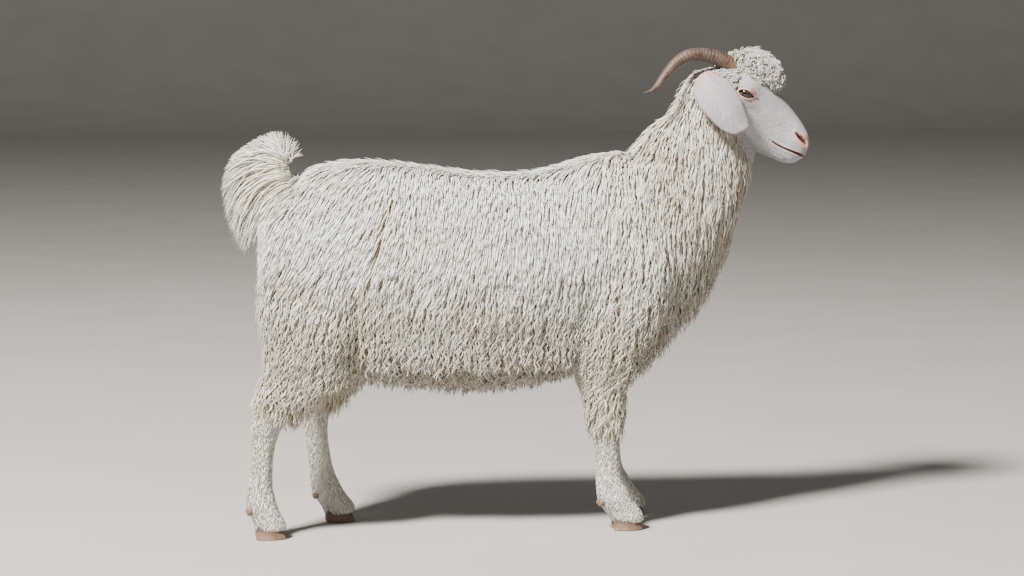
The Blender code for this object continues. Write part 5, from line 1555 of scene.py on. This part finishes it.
def buildShort(name, source, wanted, lie, lengthOf, kind):
    tree = treeOf(source)
    roots, normals, draw, count = sown(source, wanted, kind, shortJitter)
    lengths = lengthOf(roots) * draw.uniform(0.7, 1.25, count)
    keep = lengths > shortest
    roots, normals, lengths = roots[keep], normals[keep], lengths[keep]
    count = len(roots)
    way = lie(roots, normals)
    swirl = 0.35 * softNoise(roots, 30.0, kind["seed"] + 2)[:, None] + draw.normal(0, 0.22, (count, 1))
    way = unit(way + np.cross(normals, way) * swirl)
    stations = [roots - normals * 0.0006]
    for share, height in ((0.5, 0.012), (1.0, 0.018)):
        near, out = nearestOn(tree, roots + way * (lengths * share)[:, None])
        stations.append(near + out * (kind["rise"] * share + height * lengths)[:, None])
    outs = np.repeat(normals[:, None], 3, 1)
    tone = np.clip(0.5 + 0.3 * softNoise(roots, 25.0, kind["seed"] + 3) + draw.normal(0, 0.15, count), 0, 1)
    strandPiece(name, kind, np.stack(stations, 1), outs, draw.uniform(0.7, 1.2, count), 1.0, tone,
                marksAndShadeAt(roots) * kind["marked"], unwrapped(roots))
    return count


def onFace(points, normals):
    face, _, crown = worldToHead(points)
    longer = (face < -0.045 + 0.02 * softNoise(points, 30.0, 43)) | (crown < 0.7715)
    return (woolPlane(points - shift) > -0.004) & (clearOfFeatures(points) > 0.003) & longer


def faceLength(points):
    face, _, crown = worldToHead(points)
    base = 0.0075 + 0.011 * smoothStep(0.0, -0.10, face) + 0.003 * smoothStep(0.775, 0.755, crown)
    return np.minimum(base, np.maximum(clearOfFeatures(points) * 0.9, 0.002))


def onShank(points, normals):
    body = points - shift
    return (body[:, 2] < fleeceHem(body) + 0.022) & (body[:, 2] > 0.0175)


def shankLength(points):
    x, _, z = (points - shift).T
    return np.where(x > 0, 0.010, 0.0135) * smoothStep(0.012, 0.030, z)


def earPlace(points):  # share along the ear, distances from its edges, and its ways along and forward
    share, ahead = np.zeros(len(points)), np.zeros(len(points))
    ways = np.zeros((len(points), 2, 3))
    for side in (1, -1):
        root, along, forward, _ = earFrame(side)
        along, forward = along @ yawTurn.T, forward @ yawTurn.T
        picked = (points[:, 1] < 0) == (side > 0)
        away = points[picked] - turned(root) - shift
        share[picked] = away @ along / ear["length"]
        ahead[picked] = away @ forward
        ways[picked] = (along, forward)
    shares, backs, fronts = zip(*ear["edges"])
    return share, ahead - np.interp(share, shares, backs), np.interp(share, shares, fronts) - ahead, ways


def onEar(points, normals):
    share, fromBack, fromFront, _ = earPlace(points)
    return (np.minimum(fromBack, fromFront) < 0.0030) & (share > 0.15)


def earLie(points, normals):
    _, fromBack, fromFront, ways = earPlace(points)
    outward = np.where(fromBack < fromFront, -0.8, 0.8)[:, None]
    return alongSkin(ways[:, 0] + ways[:, 1] * outward, normals)


def earHairLength(points):
    return np.full(len(points), 0.0055)


print("face hair", buildShort("faceHair", skin, onFace, headLie, faceLength, short["face"]))
print("shank hair", buildShort("shankHair", skin, onShank, shankLie, shankLength, short["shank"]))
for word, piece in earPieces.items():
    name = "earHair" + word.capitalize()
    print(name, buildShort(name, piece, onEar, earLie, earHairLength, short["ear"]))

# The curls between the horn, the ear and the eye
temple = {
    "cell": 0.0033, "length": 0.022, "depth": 0.0085, "steps": 9, "width": 0.0019, "thickness": 0.0010,
    "hang": False, "sink": 0.001, "profile": 0.6, "clump": 0.010, "pull": 0.45, "seed": 64,
    "lieSeed": 61,
    "swell": ((0, 0.7), (0.3, 1.0), (0.8, 0.8), (1, 0.25)), "material": curlHair,
}


def growsTemple(points, normals):
    face, across, crown = worldToHead(points)
    front = np.interp(crown, (0.815, 0.837, 0.863, 0.880), (-0.066, -0.057, -0.064, -0.060))
    highest = np.interp(face, (-0.110, -0.092, -0.082, -0.072), (0.840, 0.852, 0.866, 0.890))
    front = front + 0.005 * softNoise(points, 55.0, 45) + 0.004 * softNoise(points, 160.0, 46)
    return (face > -0.122) & (face < front) & (crown > 0.822) & (crown < highest) & (np.abs(across) > 0.014)


def templeLie(points, normals):
    way = headWay(np.full(len(points), -0.25), 0.0, -1.0)
    return alongSkin(way + 0.35 * noiseWay(points, 28.0, temple["lieSeed"]), normals)


def buildTemple():
    roots, normals, draw, count = sown(skin, growsTemple, temple)
    lengths = temple["length"] * draw.uniform(0.6, 1.15, count)
    lengths = np.minimum(lengths, np.maximum(clearOfFeatures(roots) * 1.3, 0.008))
    depths = temple["depth"] * draw.uniform(0.4, 1.0, count)
    paths, outs = drape(skinTree, roots, normals, lengths, depths, temple, templeLie,
                        draw.normal(0, 0.15, count))
    paths, _ = clumped(paths, roots, temple["clump"], temple["pull"], temple["seed"] + 2)
    paths = waved(paths, outs, draw.uniform(0.0010, 0.0020, count), draw.uniform(0.010, 0.014, count),
                  4.0 * softNoise(roots, 40.0, temple["seed"] + 3) + draw.normal(0, 0.6, count), 0.8, 0.25)
    tone = np.clip(0.5 + draw.normal(0, 0.2, count), 0, 1)
    strandPiece("templeCurls", temple, paths, outs, draw.uniform(0.7, 1.2, count), 1.0, tone, marksAndShadeAt(roots),
                unwrapped(roots))
    return count


print("temple curls", buildTemple())

# Loose hairs that soften the outline
wisps = {
    "cell": 0.028, "steps": 6, "width": 0.0011, "thickness": 0.0008, "length": 0.062, "seed": 71,
    "shorterOnNape": 0.026, "pastFleece": 0.001, "hang": True, "sink": 0.003, "profile": 0.5,
    "swell": ((0, 1.0), (0.6, 0.8), (1, 0.15)), "material": mohair,
}


def growsWisps(points, normals):
    return growsFleece(points, normals) & (normals[:, 2] > -0.30)


def buildWisps():
    roots, normals, draw, count = sown(skin, growsWisps, wisps)
    body = roots - shift
    nape = smoothStep(-0.10, -0.005, woolPlane(body))
    lengths = (wisps["length"] - wisps["shorterOnNape"] * nape) * draw.uniform(0.7, 1.2, count)
    depths = (fleeceDepth(body) + wisps["pastFleece"]) * draw.uniform(0.95, 1.12, count)
    paths, outs = drape(skinTree, roots, normals, lengths, depths, wisps, fleeceLie,
                        draw.normal(0, 0.15, count))
    paths = waved(paths, outs, draw.uniform(0.0010, 0.0030, count), draw.uniform(0.025, 0.040, count),
                  draw.uniform(0, 6.28, count), 0.6)
    strandPiece("fleeceWisps", wisps, paths, outs, 1.0, 1.0, draw.uniform(0.4, 1, count), marksAndShadeAt(roots),
                unwrapped(roots))
    return count


print("wisps", buildWisps())

# The camera and light
camera = {
    "azimuth": -8.0, "elevation": 5.5, "distance": 5.0, "target": (-0.005, 0.0, 0.407),
    "lens": 103.4, "sensor": 36, "farthest": 200,
}


def addCamera():
    a, e = math.radians(camera["azimuth"]), math.radians(camera["elevation"])
    back = Vector((math.sin(a) * math.cos(e), -math.cos(a) * math.cos(e), math.sin(e)))
    data = bpy.data.cameras.new("camera")
    data.lens = camera["lens"]
    data.sensor_width = camera["sensor"]
    data.clip_end = camera["farthest"]
    made = bpy.data.objects.new("camera", data)
    bpy.context.scene.collection.objects.link(made)
    made.location = Vector(camera["target"]) + Vector(shift) + back * camera["distance"]
    made.rotation_euler = (-back).to_track_quat("-Z", "Y").to_euler()
    bpy.context.scene.camera = made


studio = {
    "lights": (  # name, place, watts, size, colour
        ("keyLight", (-3.4, -3.7, 5.8), 2600, 1.2, (1.0, 0.975, 0.93)),
        ("fillLight", (3.4, -4.0, 2.0), 2, 2.6, (0.97, 0.98, 1.0)),
        ("rimLight", (0.6, 3.4, 3.2), 30, 2.4, (1.0, 1.0, 1.0))),
    "aim": (0, 0, 0.4),
    "front": -14, "halfWidth": 24, "bendStart": 15, "bendRadius": 5, "wallTop": 16,
    "air": (0.80, 0.795, 0.79, 1),
    "airStrength": 0.11,
}


def lightStudio():
    for name, spot, energy, size, colour in studio["lights"]:
        data = bpy.data.lights.new(name, "AREA")
        data.energy = energy
        data.size = size
        data.color = colour
        made = bpy.data.objects.new(name, data)
        bpy.context.scene.collection.objects.link(made)
        made.location = spot
        made.rotation_euler = (Vector(studio["aim"]) - Vector(spot)).to_track_quat("-Z", "Y").to_euler()
    world = bpy.data.worlds.new("studio")
    world.use_nodes = True
    background = world.node_tree.nodes["Background"]
    background.inputs["Color"].default_value = studio["air"]
    background.inputs["Strength"].default_value = studio["airStrength"]
    bpy.context.scene.world = world


def addFloor():
    made, tree, shader = newMaterial("paleFloor", 0.9)
    cloud = ramp(tree, noiseOf(tree, 3.0, 4.0), ((0.3, (0.36, 0.345, 0.325)), (0.7, (0.39, 0.375, 0.355))))
    link(tree, cloud, shader.inputs["Base Color"])
    # level under the goat, then one quarter turn up into a plain back wall
    start, radius = studio["bendStart"], studio["bendRadius"]
    bend = [(start + radius * math.sin(a), radius - radius * math.cos(a))
            for a in np.linspace(0, math.pi / 2, 17)]
    profile = [(studio["front"], 0)] + bend + [(start + radius, studio["wallTop"])]
    verts = [(x, y, z) for y, z in profile for x in (-studio["halfWidth"], studio["halfWidth"])]
    quads = [(2 * i, 2 * i + 1, 2 * i + 3, 2 * i + 2) for i in range(len(profile) - 1)]
    makeMesh("floor", verts, quads, None, made)


addCamera()
lightStudio()
addFloor()
